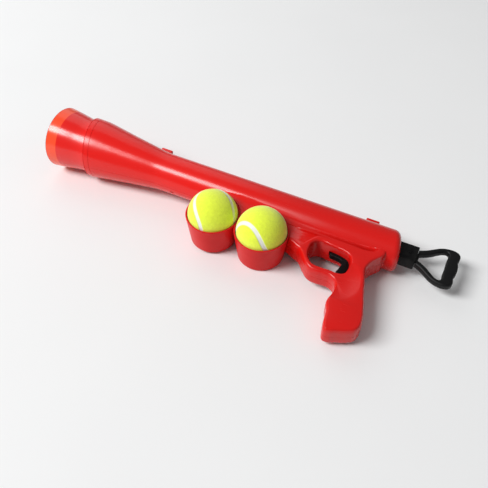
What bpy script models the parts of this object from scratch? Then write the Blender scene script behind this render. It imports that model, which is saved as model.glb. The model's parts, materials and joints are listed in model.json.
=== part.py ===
"""Dog ball thrower: a spring launcher for tennis balls, lying on its right side.

Lengths are metres. Every piece is drawn in the launcher's own frame: X runs rearward along the
barrel from the mouth, Y points to the launcher's top and Z to its left side, which faces up as
it lies. One empty then tilts the whole launcher onto the three places that it rests on.
"""
import math

import bmesh
import bpy
from mathutils import Matrix, Vector

# Clearances
gap = 0.0003
overrun = 0.004
slide_clearance = 0.0005
weld_distance = gap / 15

# Muzzle sleeve and horn
sleeve_mouth_radius = 0.0436
sleeve_rear_radius = 0.0370
sleeve_length = 0.050
sleeve_wall = 0.0020
clear_band_length = 0.016
liner_wall = 0.0018
collar_station = 0.053
collar_radius = 0.0410
collar_start = 0.038
throat_blend = 0.012
horn_length = 0.127
rake_degrees = 13.0
crease_degrees = 34.0
edge_degrees = 40.0
edge_rounding_steps = 2

# Barrel and receiver
barrel_front_radius = 0.0261
barrel_draft = 0.0008
barrel_rear_radius = barrel_front_radius - barrel_draft
barrel_end_station = 0.509
wall = 0.0025
barrel_wall = 0.0020
bore_radius = barrel_rear_radius - barrel_wall
lip_height = 0.0043
lip_radius = bore_radius - lip_height
lip_thickness = 0.003
seat_station = 0.430
seat_thickness = 0.006
guide_station = 0.484
guide_thickness = 0.008

# Lugs on the top seam
lug_length = 0.019
lug_half_width = 0.003
lug_rise = 0.0100
lug_stations = (0.1515, 0.4645)

# Web between barrel, cups and guard
web_front = 0.262
web_length = 0.238
web_drop = 0.060
web_front_half = 0.0200
web_rear_half = 0.0155
web_taper_start = 0.285
web_taper_end = 0.400
web_edge = 0.002

# Guard and grip frame
frame_front = 0.390
frame_length = 0.110
frame_drop = 0.156
frame_top_half = 0.0168
frame_grip_half = 0.0140
frame_taper_top = 0.030
frame_taper_bottom = 0.080
frame_edge = 0.0030

# Ball cups and balls
ball_radius = 0.0325
ball_spacing = 0.0686
ball_front_station = 0.278
ball_below_barrel = 0.0306
ball_drop = barrel_front_radius + ball_below_barrel
ball_height = 0.0162
cup_rim_above_ball = 0.002
cup_depth = 0.0446
cup_rim_radius = 0.0350
cup_foot_radius = 0.0302
cup_wall = 0.0018
cup_floor = 0.0025
cup_foot_fillet = 0.003

# Piston, spring and pull bar
piston_thickness = 0.012
piston_pocket = 0.006
bumper_thickness = 0.008
bumper_wall = 0.0063
bumper_bore = bore_radius - bumper_wall
nose_clearance = 0.0025
nose_radius = bumper_bore - nose_clearance
nose_length = 0.040
pad_thickness = 0.007
bar_height = 0.026
bar_width = 0.016
bar_end_station = 0.532
bar_bevel = 0.0012
bar_window_count = 5
bar_window_length = 0.018
bar_window_height = 0.012
bar_window_pitch = 0.025
bar_window_start = 0.200
notch_length = 0.008
notch_depth = 0.004
cocking_travel = 0.130
spring_radius = 0.0176
spring_wire_radius = 0.0012
spring_turns = 20
spring_points = 8

# Pull loop and its pin
loop_length = 0.0497
loop_half_width = 0.0288
loop_half_thickness = 0.0045
loop_edge = 0.0022
tongue_height = 0.012
tongue_half_thickness = 0.003
tongue_length = 0.018
loop_pin_radius = 0.002
loop_pin_inset = 0.009

# Trigger and sear
trigger_pivot_station = 0.452
trigger_pivot_drop = 0.030
trigger_span = 0.042
trigger_half_thickness = 0.004
trigger_edge = 0.0010
sear_pivot_station = 0.468
sear_pivot_drop = 0.022
sear_span = 0.016
sear_half_thickness = 0.003
sear_edge = 0.0004
pivot_pin_radius = 0.0013
pivot_boss_radius = 0.0034
trigger_slot_front = 0.428
trigger_slot_rear = 0.473
trigger_slot_bottom = 0.069
torsion_radius = 0.0027
torsion_wire_radius = 0.0004
torsion_turns = 3.5
torsion_points = 8

# Body screws
screw_shank_radius = 0.0013
screw_head_radius = 0.0026
screw_head_height = 0.0018
screw_recess = 0.0030
screw_boss_radius = 0.0036
screw_tip_height = 0.0080
web_screws_below_barrel = (0.0105, 0.0159)

# Roundness
turned_segments = 40
small_segments = 12
outline_steps = 2

# Share of the wall that is left of the barrel's tube inside the web
tube_wall_share = 0.8

# Share tables: (share of the length, share of the size that the table follows)
sleeve_shares = ((0.0, 1.0), (0.22, 0.80), (0.52, 0.50), (0.76, 0.15), (1.0, 0.0))
horn_shares = ((0.0, 1.0), (0.09, 0.99), (0.20, 0.867), (0.32, 0.70), (0.45, 0.553), (0.55, 0.42),
               (0.66, 0.293), (0.75, 0.207), (0.87, 0.067), (1.0, 0.0))
web_shares = ((0.0, -0.1), (0.0, -0.4), (0.03, -0.63), (0.08, -0.73), (0.37, -0.73), (0.46, -0.80),
              (0.52, -0.90), (0.57, -0.98), (0.60, -0.87), (0.625, -0.68), (0.655, -0.60),
              (0.87, -0.60), (0.93, -0.50), (0.985, -0.37), (1.0, -0.1))
frame_shares = ((0.03, -0.352), (0.07, -0.328), (0.108, -0.288), (0.16, -0.236), (0.217, -0.197),
                (0.318, -0.184), (0.455, -0.176), (0.618, -0.176), (0.773, -0.176), (0.855, -0.155),
                (0.92, -0.105), (1.01, -0.105), (1.01, -0.155), (0.95, -0.183), (0.90, -0.221),
                (0.862, -0.288),
                (0.847, -0.359), (0.877, -0.433), (0.934, -0.571), (0.986, -0.692), (1.018, -0.782),
                (1.025, -0.859), (0.995, -0.907), (0.936, -0.936), (0.836, -0.968), (0.745, -0.994),
                (0.695, -0.99), (0.668, -0.955), (0.648, -0.885), (0.632, -0.821), (0.60, -0.763),
                (0.598, -0.715), (0.615, -0.66), (0.616, -0.603), (0.586, -0.551), (0.527, -0.532),
                (0.455, -0.528), (0.364, -0.533), (0.268, -0.522), (0.178, -0.468), (0.127, -0.425),
                (0.077, -0.388))
grip_room_shares = ((0.69, -0.20), (0.82, -0.20), (0.86, -0.225), (0.825, -0.295), (0.818, -0.36),
                    (0.85, -0.43), (0.906, -0.571), (0.957, -0.692), (0.988, -0.782), (0.992, -0.852),
                    (0.96, -0.891), (0.92, -0.917), (0.827, -0.946), (0.745, -0.970), (0.705, -0.962),
                    (0.692, -0.936), (0.676, -0.885), (0.659, -0.821), (0.630, -0.763),
                    (0.626, -0.718), (0.641, -0.66), (0.644, -0.596), (0.640, -0.525),
                    (0.665, -0.494), (0.688, -0.449), (0.688, -0.353), (0.678, -0.308),
                    (0.650, -0.269), (0.640, -0.22))
opening_shares = ((0.198, -0.279), (0.188, -0.343), (0.211, -0.414), (0.245, -0.444),
                  (0.291, -0.467), (0.378, -0.473), (0.491, -0.469), (0.582, -0.471),
                  (0.636, -0.455), (0.658, -0.417), (0.659, -0.365), (0.645, -0.32),
                  (0.609, -0.285), (0.545, -0.268), (0.382, -0.252), (0.245, -0.247))
loop_half_shares = ((-0.10, 0.33), (0.0, 0.40), (0.155, 0.528), (0.316, 0.722), (0.477, 0.903), (0.678, 1.0),
                    (0.859, 0.983), (0.96, 0.868), (0.988, 0.677), (0.968, 0.434), (1.0, 0.191))
loop_hole_half_shares = ((0.175, 0.215), (0.316, 0.424), (0.477, 0.653), (0.598, 0.771),
                         (0.698, 0.792), (0.742, 0.677), (0.73, 0.382))
loop_hole_ends_shares = (0.105, 0.742)
trigger_shares = ((-0.50, -0.165), (-0.512, -0.305), (-0.286, -0.324), (-0.064, -0.357),
                  (-0.048, -0.548), (-0.057, -0.714), (-0.081, -0.824), (0.0, -0.871),
                  (0.131, -0.848), (0.202, -0.714), (0.212, -0.524), (0.181, -0.333),
                  (0.155, -0.143), (0.12, 0.0), (0.05, 0.10), (-0.05, 0.10), (-0.12, 0.0),
                  (-0.19, -0.131))
frame_screw_shares = ((0.118, -0.365), (0.83, -0.245), (0.80, -0.60), (0.855, -0.85))
sear_shares = ((-0.731, 0.475), (-0.438, 0.475), (-0.125, 0.344), (0.219, 0.25), (0.344, -0.031),
               (0.125, -0.281), (-0.125, -0.375), (-0.19, -0.844), (-0.34, -0.875),
               (-0.36, -0.375), (-0.406, 0.0), (-0.594, 0.312))


def clear_scene():
    """Remove what the scene holds before the launcher is built."""
    for item in list(bpy.data.objects):
        bpy.data.objects.remove(item, do_unlink=True)


def new_collection(name):
    """Make a collection of this name under the scene."""
    made = bpy.data.collections.new(name)
    bpy.context.scene.collection.children.link(made)
    return made


clear_scene()
parts = new_collection("dog_ball_thrower")
cutters = new_collection("cutters")
rest = bpy.data.objects.new("launcher_rest", None)
parts.objects.link(rest)


def paint(name, colour, roughness, metallic=0.0, transmission=0.0):
    """Make a Principled material."""
    made = bpy.data.materials.new(name)
    made.use_nodes = True
    shader = made.node_tree.nodes["Principled BSDF"]
    shader.inputs["Base Color"].default_value = (*colour, 1.0)
    shader.inputs["Roughness"].default_value = roughness
    shader.inputs["Metallic"].default_value = metallic
    shader.inputs["Transmission Weight"].default_value = transmission
    made.diffuse_color = (*colour, 1.0)
    return made


red_plastic = ("red plastic", (0.70, 0.030, 0.018), 0.28)
crimson_plastic = ("crimson plastic", (0.50, 0.020, 0.022), 0.32)
clear_red_plastic = ("clear red plastic", (0.86, 0.060, 0.025), 0.15, 0.0, 0.5)
black_plastic = ("black plastic", (0.010, 0.010, 0.011), 0.38)
black_rubber = ("black rubber", (0.018, 0.018, 0.018), 0.80)
steel = ("steel", (0.55, 0.55, 0.57), 0.30, 1.0)
felt = ("tennis felt", (0.62, 0.86, 0.08), 0.95)


def tidy_mesh(mesh):
    """Weld the seams of a mesh and turn its faces outward."""
    work = bmesh.new()
    work.from_mesh(mesh)
    bmesh.ops.remove_doubles(work, verts=work.verts, dist=weld_distance)
    bmesh.ops.recalc_face_normals(work, faces=work.faces)
    work.to_mesh(mesh)
    work.free()
    return mesh


def baked(item):
    """Return the mesh of an object with its modifiers and its own placement applied."""
    bpy.context.view_layer.update()
    graph = bpy.context.evaluated_depsgraph_get()
    mesh = bpy.data.meshes.new_from_object(item.evaluated_get(graph))
    mesh.transform(item.matrix_world)
    return tidy_mesh(mesh)


def solid(name, mesh, home=cutters):
    """Make an object from a mesh, as a hidden cutter until it is finished as a part."""
    made = bpy.data.objects.new(name, mesh)
    home.objects.link(made)
    made.hide_render = True
    made.display_type = "WIRE"
    return made


def finished(item, name, finish, pivot=(0.0, 0.0, 0.0)):
    """Turn a solid into a named part with its own material and its origin on its pivot."""
    item.name = name
    item.data.name = name
    cutters.objects.unlink(item)
    parts.objects.link(item)
    item.hide_render = False
    item.display_type = "TEXTURED"
    item.data.materials.clear()
    item.data.materials.append(paint(name, *finish[1:]))
    item.data.transform(Matrix.Translation(-Vector(pivot)))
    item.location = pivot
    item.data.shade_smooth()
    item.data.set_sharp_from_angle(angle=math.radians(crease_degrees))
    item.parent = rest
    return item


def turned(name, profile, axis="X", segments=turned_segments):
    """Turn a closed or axis-to-axis profile of (place along the axis, radius) round an axis."""
    work = bmesh.new()
    if axis == "X":
        corners = [work.verts.new((along, radius, 0.0)) for along, radius in profile]
    else:
        corners = [work.verts.new((radius, 0.0, along)) for along, radius in profile]
    for first, second in zip(corners, corners[1:]):
        work.edges.new((first, second))
    if profile[0][1] > 0.0:
        work.edges.new((corners[-1], corners[0]))
    mesh = bpy.data.meshes.new(name)
    work.to_mesh(mesh)
    work.free()
    made = solid(name, mesh)
    screw = made.modifiers.new("turn", "SCREW")
    screw.axis = axis
    screw.angle = math.tau
    screw.steps = segments
    screw.render_steps = segments
    screw.use_merge_vertices = True
    screw.merge_threshold = weld_distance
    made.data = baked(made)
    made.modifiers.clear()
    return made


def disc(name, start, length, radius, axis="X", centre=(0.0, 0.0, 0.0), segments=turned_segments):
    """Make a plain cylinder from a start place along one axis."""
    made = turned(name, ((start, 0.0), (start, radius), (start + length, radius),
                         (start + length, 0.0)), axis, segments)
    made.data.transform(Matrix.Translation(Vector(centre)))
    return made


def cross_disc(name, reach, radius, place):
    """Make a small cylinder across the launcher, as far to its left as to its right."""
    return disc(name, -reach, 2 * reach, radius, "Z", (*place, 0.0), small_segments)


def box(name, low, high):
    """Make a box between two corners."""
    work = bmesh.new()
    bmesh.ops.create_cube(work, size=1.0)
    mesh = bpy.data.meshes.new(name)
    work.to_mesh(mesh)
    work.free()
    size = [top - bottom for bottom, top in zip(low, high)]
    middle = [(top + bottom) / 2 for bottom, top in zip(low, high)]
    mesh.transform(Matrix.Translation(Vector(middle)) @ Matrix.Diagonal((*size, 1.0)))
    return solid(name, mesh)


def joined(target, tool, operation):
    """Apply one exact Boolean of a tool to a target."""
    step = target.modifiers.new(operation, "BOOLEAN")
    step.operation = operation
    step.solver = "EXACT"
    step.object = tool
    target.data = baked(target)
    target.modifiers.clear()
    return target


def cut(target, *tools):
    """Cut each tool out of a target."""
    for tool in tools:
        joined(target, tool, "DIFFERENCE")
    return target


def fused(target, *tools):
    """Join each tool to a target."""
    for tool in tools:
        joined(target, tool, "UNION")
    return target


def copied(item, name):
    """Copy a solid."""
    return solid(name, item.data.copy())


def rounded(item, width):
    """Round the sharp edges of a solid."""
    bevel = item.modifiers.new("edges", "BEVEL")
    bevel.width = width
    bevel.segments = edge_rounding_steps
    bevel.limit_method = "ANGLE"
    bevel.angle_limit = math.radians(edge_degrees)
    bevel.use_clamp_overlap = True
    item.data = baked(item)
    item.modifiers.clear()
    return item


def placed(shares, start, length, drop):
    """Turn a table of shares into an outline."""
    return [(start + along * length, down * drop) for along, down in shares]


def outline_curve(name, outlines):
    """Make a flat curve through closed outlines; the second and later ones are holes."""
    curve = bpy.data.curves.new(name, "CURVE")
    curve.dimensions = "2D"
    curve.fill_mode = "BOTH"
    curve.resolution_u = outline_steps
    for outline in outlines:
        spline = curve.splines.new("BEZIER")
        spline.bezier_points.add(len(outline) - 1)
        spline.use_cyclic_u = True
        for knot, place in zip(spline.bezier_points, outline):
            knot.co = (*place, 0.0)
            knot.handle_left_type = "AUTO"
            knot.handle_right_type = "AUTO"
    return curve


def plate(name, outlines, half_thickness, edge, inset=0.0):
    """Make a plate with rounded edges from flat outlines, drawn in by an inset."""
    curve = outline_curve(name, outlines)
    curve.bevel_depth = edge
    curve.bevel_resolution = 1
    curve.offset = -edge - inset
    curve.extrude = half_thickness - inset - edge
    made = bpy.data.objects.new(name, curve)
    cutters.objects.link(made)
    mesh = baked(made)
    bpy.data.objects.remove(made)
    return solid(name, mesh)


def between(value, start, end):
    """Tell how far a value lies from a start to an end, from 0 to 1."""
    return min(1.0, max(0.0, (value - start) / (end - start)))


def read_shares(shares, share):
    """Read a share table at a share of its length."""
    for (before, low), (after, high) in zip(shares, shares[1:]):
        if share <= after:
            return low + (high - low) * between(share, before, after)
    return shares[-1][1]


def sleeve_radius(station):
    """Outer radius of the muzzle sleeve."""
    share = read_shares(sleeve_shares, station / sleeve_length)
    return sleeve_rear_radius + share * (sleeve_mouth_radius - sleeve_rear_radius)


def barrel_radius(station):
    """Outer radius of the drafted barrel."""
    share = between(station, horn_end, barrel_end_station)
    return barrel_front_radius + share * (barrel_rear_radius - barrel_front_radius)


def horn_radius(station):
    """Outer radius of the horn."""
    share = read_shares(horn_shares, (station - collar_station) / horn_length)
    return barrel_front_radius + share * (collar_radius - barrel_front_radius)


def web_half(station):
    """Half thickness of the web, which narrows toward the guard."""
    share = between(station, web_taper_start, web_taper_end)
    return web_front_half + share * (web_rear_half - web_front_half)


def frame_half(drop):
    """Half thickness of the guard and grip, which narrows downward."""
    share = between(drop, frame_taper_top, frame_taper_bottom)
    return frame_top_half + share * (frame_grip_half - frame_top_half)


horn_end = collar_station + horn_length
torsion_height = torsion_turns * (2 * torsion_wire_radius + gap) + 2 * torsion_wire_radius
liner_outer_offset = sleeve_wall + gap
liner_inner_offset = liner_outer_offset + liner_wall
bumper_start = horn_end - lip_thickness
piston_start = bumper_start + bumper_thickness + gap
ball_stations = (ball_front_station, ball_front_station + ball_spacing)


def behind_rake(name, station):
    """Make the half space behind a raked plane that crosses the axis at a station."""
    reach = 2 * barrel_end_station
    block = box(name, (0.0, -reach, -reach), (reach, reach, reach))
    turn = Matrix.Rotation(math.radians(rake_degrees), 4, "Z")
    block.data.transform(Matrix.Translation((station, 0.0, 0.0)) @ turn)
    return block


def stations(shares, start, length):
    """List the stations of a share table."""
    return [start + along * length for along, _ in shares]


def horn_and_barrel_outside():
    """Collar, horn and barrel as one solid, raked at both ends."""
    profile = [(collar_start, 0.0), (collar_start, collar_radius)]
    places = stations(horn_shares, collar_station, horn_length)
    profile += [(place, horn_radius(place)) for place in places]
    rear = barrel_end_station + barrel_front_radius
    profile += [(rear, barrel_rear_radius), (rear, 0.0)]
    body = turned("horn and barrel", profile)
    joined(body, behind_rake("collar rake", collar_station + gap / 2), "INTERSECT")
    cut(body, behind_rake("rear rake", barrel_end_station))
    liner = [(clear_band_length, 0.0)]
    for place in [clear_band_length] + stations(sleeve_shares, 0.0, sleeve_length)[2:]:
        liner.append((place, sleeve_radius(place) - liner_outer_offset))
    liner_end = collar_station + throat_blend
    liner.append((liner_end, sleeve_rear_radius - liner_outer_offset))
    liner.append((liner_end, 0.0))
    return fused(body, turned("liner", liner))


def horn_and_barrel_inside():
    """The hollow from the mouth to the inside of the rear wall."""
    profile = [(-overrun, 0.0), (-overrun, sleeve_mouth_radius - liner_inner_offset)]
    for place in stations(sleeve_shares, 0.0, sleeve_length):
        profile.append((place, sleeve_radius(place) - liner_inner_offset))
    for place in stations(horn_shares, collar_station, horn_length):
        if sleeve_length + throat_blend < place < bumper_start - lip_thickness:
            profile.append((place, horn_radius(place) - wall))
    lip_start = bumper_start - lip_thickness
    profile += [(lip_start, horn_radius(lip_start) - wall), (lip_start, lip_radius)]
    profile += [(bumper_start, lip_radius), (bumper_start, bore_radius)]
    rear = barrel_end_station + barrel_front_radius
    profile += [(rear, bore_radius), (rear, 0.0)]
    hollow = turned("bore", profile)
    return cut(hollow, behind_rake("rear wall", barrel_end_station - wall))


def tapered(item, half_at, reference, along):
    """Scale the thickness of a plate by a rule of the place along X or Y."""
    for vertex in item.data.vertices:
        place = vertex.co.x if along == "X" else -vertex.co.y
        vertex.co.z *= half_at(place) / reference
    return item


def web_plate(inset=0.0):
    """The flat-sided web under the barrel."""
    outline = placed(web_shares, web_front, web_length, web_drop)
    made = plate("web", [outline], web_rear_half, web_edge, inset)

    def half_at(station):
        return web_half(station) - inset
    return tapered(made, half_at, web_rear_half - inset, "X")


def frame_plate():
    """The trigger guard and grip with the opening for the finger."""
    outline = placed(frame_shares, frame_front, frame_length, frame_drop)
    opening = placed(opening_shares, frame_front, frame_length, frame_drop)
    made = plate("frame", [outline, opening], frame_grip_half, frame_edge)
    return tapered(made, frame_half, frame_grip_half, "Y")


def grip_room():
    """The hollow of the grip, a wall's thickness inside the frame."""
    outline = placed(grip_room_shares, frame_front, frame_length, frame_drop)
    made = plate("grip room", [outline], frame_grip_half - wall, web_edge / 2)

    def half_at(drop):
        return frame_half(drop) - wall
    return tapered(made, half_at, frame_grip_half - wall, "Y")


def top_lug(station):
    """A lug on the top seam, rounded at its ends."""
    base = barrel_radius(station) if station > horn_end else horn_radius(station)
    low = (station - lug_length / 2, base - wall, -lug_half_width)
    high = (station + lug_length / 2, base + lug_rise, lug_half_width)
    return rounded(box("lug", low, high), lug_half_width / 2)


def cup_profile(grow=0.0, top=0.0):
    """Outer profile of a ball cup from the axis at its foot up to its rim."""
    rim = ball_height + cup_rim_above_ball
    foot = rim - cup_depth
    return [(foot - grow, 0.0), (foot - grow, cup_foot_radius - cup_foot_fillet + grow),
            (foot + cup_foot_fillet - grow, cup_foot_radius + grow), (rim, cup_rim_radius + grow),
            (rim + top, cup_rim_radius + grow), (rim + top, 0.0)]


def cup_space(station):
    """The room that a cup and its ball take out of the web."""
    made = turned("cup space", cup_profile(gap, web_front_half), "Z")
    made.data.transform(Matrix.Translation((station, -ball_drop, 0.0)))
    return made


def ball_cup(name, station, side):
    """A tapered cup, trimmed by the barrel and by the plane between the two cups."""
    rim = ball_height + cup_rim_above_ball
    foot = rim - cup_depth
    profile = cup_profile()[1:4]
    profile += [(rim, cup_rim_radius - cup_wall)]
    profile += [(foot + cup_floor, cup_foot_radius - cup_wall - cup_foot_fillet / 2)]
    profile = [(foot, 0.0)] + profile + [(foot + cup_floor, 0.0)]
    made = turned(name, profile, "Z")
    made.data.transform(Matrix.Translation((station, -ball_drop, 0.0)))
    middle = ball_front_station + ball_spacing / 2
    barrel_room = disc("barrel room", web_front - ball_spacing, web_length, barrel_front_radius + gap)
    reach = cup_rim_radius + ball_drop
    far_side = (middle - side * gap / 2, middle + side * reach)
    beyond = box("beyond the middle", (min(far_side), -reach - ball_drop, -reach),
                 (max(far_side), reach, reach))
    cut(made, barrel_room, beyond)
    return finished(made, name, crimson_plastic, (station, -ball_drop, 0.0))


def screw_places():
    """Centre and half thickness of the body at each body screw."""
    between_cups = ball_front_station + ball_spacing / 2
    behind_cups = ball_stations[1] + cup_rim_radius + screw_boss_radius
    in_web = [(station, -barrel_front_radius - below)
              for station, below in zip((between_cups, behind_cups), web_screws_below_barrel)]
    in_frame = placed(frame_screw_shares, frame_front, frame_length, frame_drop)
    found = [(x, y, web_half(x)) for x, y in in_web]
    return found + [(x, y, frame_half(-y)) for x, y in in_frame]


def pivot_places():
    """Centre of the trigger pin and of the sear pin."""
    return ((trigger_pivot_station, -trigger_pivot_drop), (sear_pivot_station, -sear_pivot_drop))


def housing():
    """Both halves of the body, hollow, with bosses, pockets and openings."""
    body = horn_and_barrel_outside()
    fused(body, web_plate(), frame_plate())
    for station in lug_stations:
        fused(body, top_lug(station))
    tube = disc("barrel tube", web_front / 2, seat_station + seat_thickness - web_front / 2,
                bore_radius + wall * tube_wall_share)
    cut(body, horn_and_barrel_inside())
    for room in (web_plate(wall), grip_room()):
        cut(body, cut(room, tube))
    half = frame_top_half - wall / 2
    for x, y, side in screw_places():
        reach = side - wall / 2
        boss = cross_disc("screw boss", reach, screw_boss_radius, (x, y))
        fused(body, boss)
    for x, y in pivot_places():
        boss = cross_disc("pivot boss", half, pivot_boss_radius, (x, y))
        fused(body, boss)
    for (x, y), side in zip(pivot_places(), (1, -1)):
        start = side * (trigger_half_thickness - gap)
        height = side * (torsion_height + 3 * gap)
        room = disc("spring room", start, height, pivot_boss_radius + gap, "Z", (x, y, 0.0), small_segments)
        cut(body, room)
    for station in ball_stations:
        cut(body, cup_space(station))
    cut(body, mechanism_room(), trigger_slot(), bar_opening())
    for x, y, side in screw_places():
        cut(body, screw_room(x, y, side))
    for x, y in pivot_places():
        reach = frame_top_half - wall
        hole = cross_disc("pin hole", reach, pivot_pin_radius + gap, (x, y))
        cut(body, hole)
    reach = barrel_end_station + horn_end
    for name, low, high in (("left_shell", gap / 2, reach), ("right_shell", -reach, -gap / 2)):
        keep = box("half of body", (-reach, -reach, low), (reach, reach, high))
        finished(joined(copied(body, name), keep, "INTERSECT"), name, red_plastic)
    bpy.data.objects.remove(body)


def mechanism_room():
    """Room between the pivot bosses for the trigger, the sear and their swing."""
    half = trigger_half_thickness + gap
    top = bore_radius / 2
    return box("mechanism room", (trigger_slot_front + wall, -trigger_pivot_drop - wall, -half),
               (guide_station - wall, -top, half))


def trigger_slot():
    """Slot through the ceiling of the finger opening and into the front of the grip."""
    half = trigger_half_thickness + gap
    slot = box("trigger slot", (trigger_slot_front, -trigger_slot_bottom, -half),
               (trigger_slot_rear, -trigger_pivot_drop, half))
    return slot


def bar_opening():
    """Rectangular opening in the rear wall for the pull bar."""
    half_height = bar_height / 2 + slide_clearance
    half_width = bar_width / 2 + slide_clearance
    return box("bar opening", (guide_station, -half_height, -half_width),
               (barrel_end_station + barrel_front_radius, half_height, half_width))


def screw_room(x, y, side):
    """Hole and head pocket of one body screw, entered from the right side."""
    under_head = -side + screw_recess
    profile = ((-side - overrun, 0.0), (-side - overrun, screw_head_radius + gap),
               (under_head, screw_head_radius + gap), (under_head, screw_shank_radius + gap),
               (screw_tip_height + gap, screw_shank_radius + gap), (screw_tip_height + gap, 0.0))
    made = turned("screw room", profile, "Z", small_segments)
    made.data.transform(Matrix.Translation((x, y, 0.0)))
    return made


def body_screws():
    """The screws that hold the two halves together."""
    for number, (x, y, side) in enumerate(screw_places(), start=1):
        under_head = -side + screw_recess - gap
        head_top = under_head - screw_head_height
        profile = ((head_top, 0.0), (head_top, screw_head_radius - gap),
                   (head_top + gap, screw_head_radius), (under_head, screw_head_radius),
                   (under_head, screw_shank_radius),
                   (screw_tip_height, screw_shank_radius), (screw_tip_height, 0.0))
        name = f"body_screw_{number}"
        screw = turned(name, profile, "Z", small_segments)
        screw.data.transform(Matrix.Translation((x, y, 0.0)))
        finished(screw, name, steel)


def muzzle_sleeve():
    """Translucent cone over the horn's liner, cut along the collar's raked edge."""
    places = stations(sleeve_shares, 0.0, sleeve_length)
    end = collar_station + throat_blend
    profile = [(0.0, sleeve_mouth_radius - sleeve_wall / 4)]
    profile += [(place + sleeve_wall / 4 * (place == 0.0), sleeve_radius(place)) for place in places]
    profile += [(end, sleeve_rear_radius), (end, sleeve_rear_radius - sleeve_wall)]
    profile += [(place, sleeve_radius(place) - sleeve_wall) for place in reversed(places)]
    made = turned("sleeve", profile)
    cut(made, behind_rake("sleeve rake", collar_station - gap / 2))
    return finished(made, "muzzle_sleeve", clear_red_plastic)


def barrel_bumper():
    """Rubber ring that stops the piston at the front of the bore."""
    start = bumper_start + gap
    outer = bore_radius - gap
    profile = ((start, bumper_bore), (start, outer), (start + bumper_thickness - gap, outer),
               (start + bumper_thickness - gap, bumper_bore))
    return finished(turned("bumper", profile), "barrel_bumper", black_rubber)


def bored_plate(name, station, thickness, finish):
    """A round plate that fits the bore and lets the pull bar through."""
    made = disc(name, station, thickness, bore_radius - gap)
    half_height = bar_height / 2 + slide_clearance
    half_width = bar_width / 2 + slide_clearance
    window = box("bar window", (station - overrun, -half_height, -half_width),
                 (station + thickness + overrun, half_height, half_width))
    return finished(cut(made, window), name, finish)


def piston():
    """Disc that the spring drives, with its striking nose and a pocket for the bar."""
    rear = piston_start + piston_thickness
    profile = ((piston_start - nose_length, 0.0), (piston_start - nose_length, nose_radius),
               (piston_start, nose_radius), (piston_start, bore_radius - gap),
               (rear, bore_radius - gap), (rear, 0.0))
    made = turned("piston", profile)
    pocket = box("bar pocket", (rear - piston_pocket, -bar_height / 2 - gap, -bar_width / 2 - gap),
                 (rear + overrun, bar_height / 2 + gap, bar_width / 2 + gap))
    return finished(cut(made, pocket), "piston", black_plastic)


def striker_pad():
    """Rubber pad on the nose that meets the ball."""
    end = piston_start - nose_length - gap
    profile = ((end - pad_thickness, 0.0), (end - pad_thickness, nose_radius - pad_thickness / 4),
               (end - pad_thickness * 3 / 4, nose_radius), (end, nose_radius), (end, 0.0))
    return finished(turned("pad", profile, segments=turned_segments // 2), "striker_pad", black_rubber)


def pull_bar():
    """Long bar from the piston to the loop, lightened where it is hidden."""
    start = piston_start + piston_thickness - piston_pocket + gap
    corner = (bar_end_station, bar_height / 2, bar_width / 2)
    made = box("bar", (start, -bar_height / 2, -bar_width / 2), corner)
    rounded(made, bar_bevel)
    for number in range(bar_window_count):
        middle = bar_window_start + number * bar_window_pitch
        window = box("window", (middle - bar_window_length / 2, -bar_window_height / 2, -bar_width),
                     (middle + bar_window_length / 2, bar_window_height / 2, bar_width))
        cut(made, window)
    catch = sear_tip_station() - cocking_travel
    cut(made, box("notch", (catch - notch_length / 2, -bar_height, -bar_width),
                  (catch + notch_length / 2, -bar_height / 2 + notch_depth, bar_width)))
    tongue_room = box("tongue room", (bar_end_station - tongue_length - gap, -tongue_height / 2 - gap,
                                      -tongue_half_thickness - gap),
                      (bar_end_station + overrun, tongue_height / 2 + gap, tongue_half_thickness + gap))
    pin_room = cross_disc("pin room", bar_width, loop_pin_radius + gap, loop_pin_place())
    return finished(cut(made, tongue_room, pin_room), "pull_bar", black_plastic)


def loop_pin_place():
    """Centre of the pin through the bar and the loop's tongue."""
    return (bar_end_station - loop_pin_inset, 0.0)


def mirrored(half_shares):
    """Complete a symmetric outline from its upper half, front to rear."""
    return list(half_shares) + [(along, -up) for along, up in reversed(half_shares)]


def pull_loop():
    """Rounded triangular hand loop with a tongue that enters the bar."""
    outline = placed(mirrored(loop_half_shares), bar_end_station + gap, loop_length, loop_half_width)
    front, rear = loop_hole_ends_shares
    hole_shares = [(front, 0.0)] + list(loop_hole_half_shares) + [(rear, 0.0)]
    hole_shares += [(along, -up) for along, up in reversed(loop_hole_half_shares)]
    hole = placed(hole_shares, bar_end_station + gap, loop_length, loop_half_width)
    made = plate("loop", [outline, hole], loop_half_thickness, loop_edge)
    root = bar_end_station + gap
    flat = box("flat front", (root - loop_length / 2, -loop_length, -loop_length),
               (root, loop_length, loop_length))
    cut(made, flat)
    tongue = box("tongue", (bar_end_station - tongue_length, -tongue_height / 2, -tongue_half_thickness),
                 (root + loop_edge, tongue_height / 2, tongue_half_thickness))
    fused(made, tongue)
    pin_room = cross_disc("pin room", bar_width, loop_pin_radius + gap, loop_pin_place())
    return finished(cut(made, pin_room), "pull_loop", black_plastic)


def loop_pin():
    """Steel pin through the bar and the loop's tongue."""
    return finished(cross_disc("pin", bar_width / 2, loop_pin_radius, loop_pin_place()), "loop_pin", steel)


def sear_tip_station():
    """Station of the middle of the sear's tip."""
    return sear_pivot_station + (sear_shares[0][0] + sear_shares[1][0]) / 2 * sear_span


def lever(name, shares, pivot, span, half_thickness, edge, finish):
    """A flat lever with a pin hole, its origin on its pivot."""
    outline = [(pivot[0] + along * span, pivot[1] + up * span) for along, up in shares]
    made = plate(name, [outline], half_thickness, edge)
    room = cross_disc("pin room", half_thickness + overrun, pivot_pin_radius + gap, pivot)
    return finished(cut(made, room), name, finish, (*pivot, 0.0))


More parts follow.
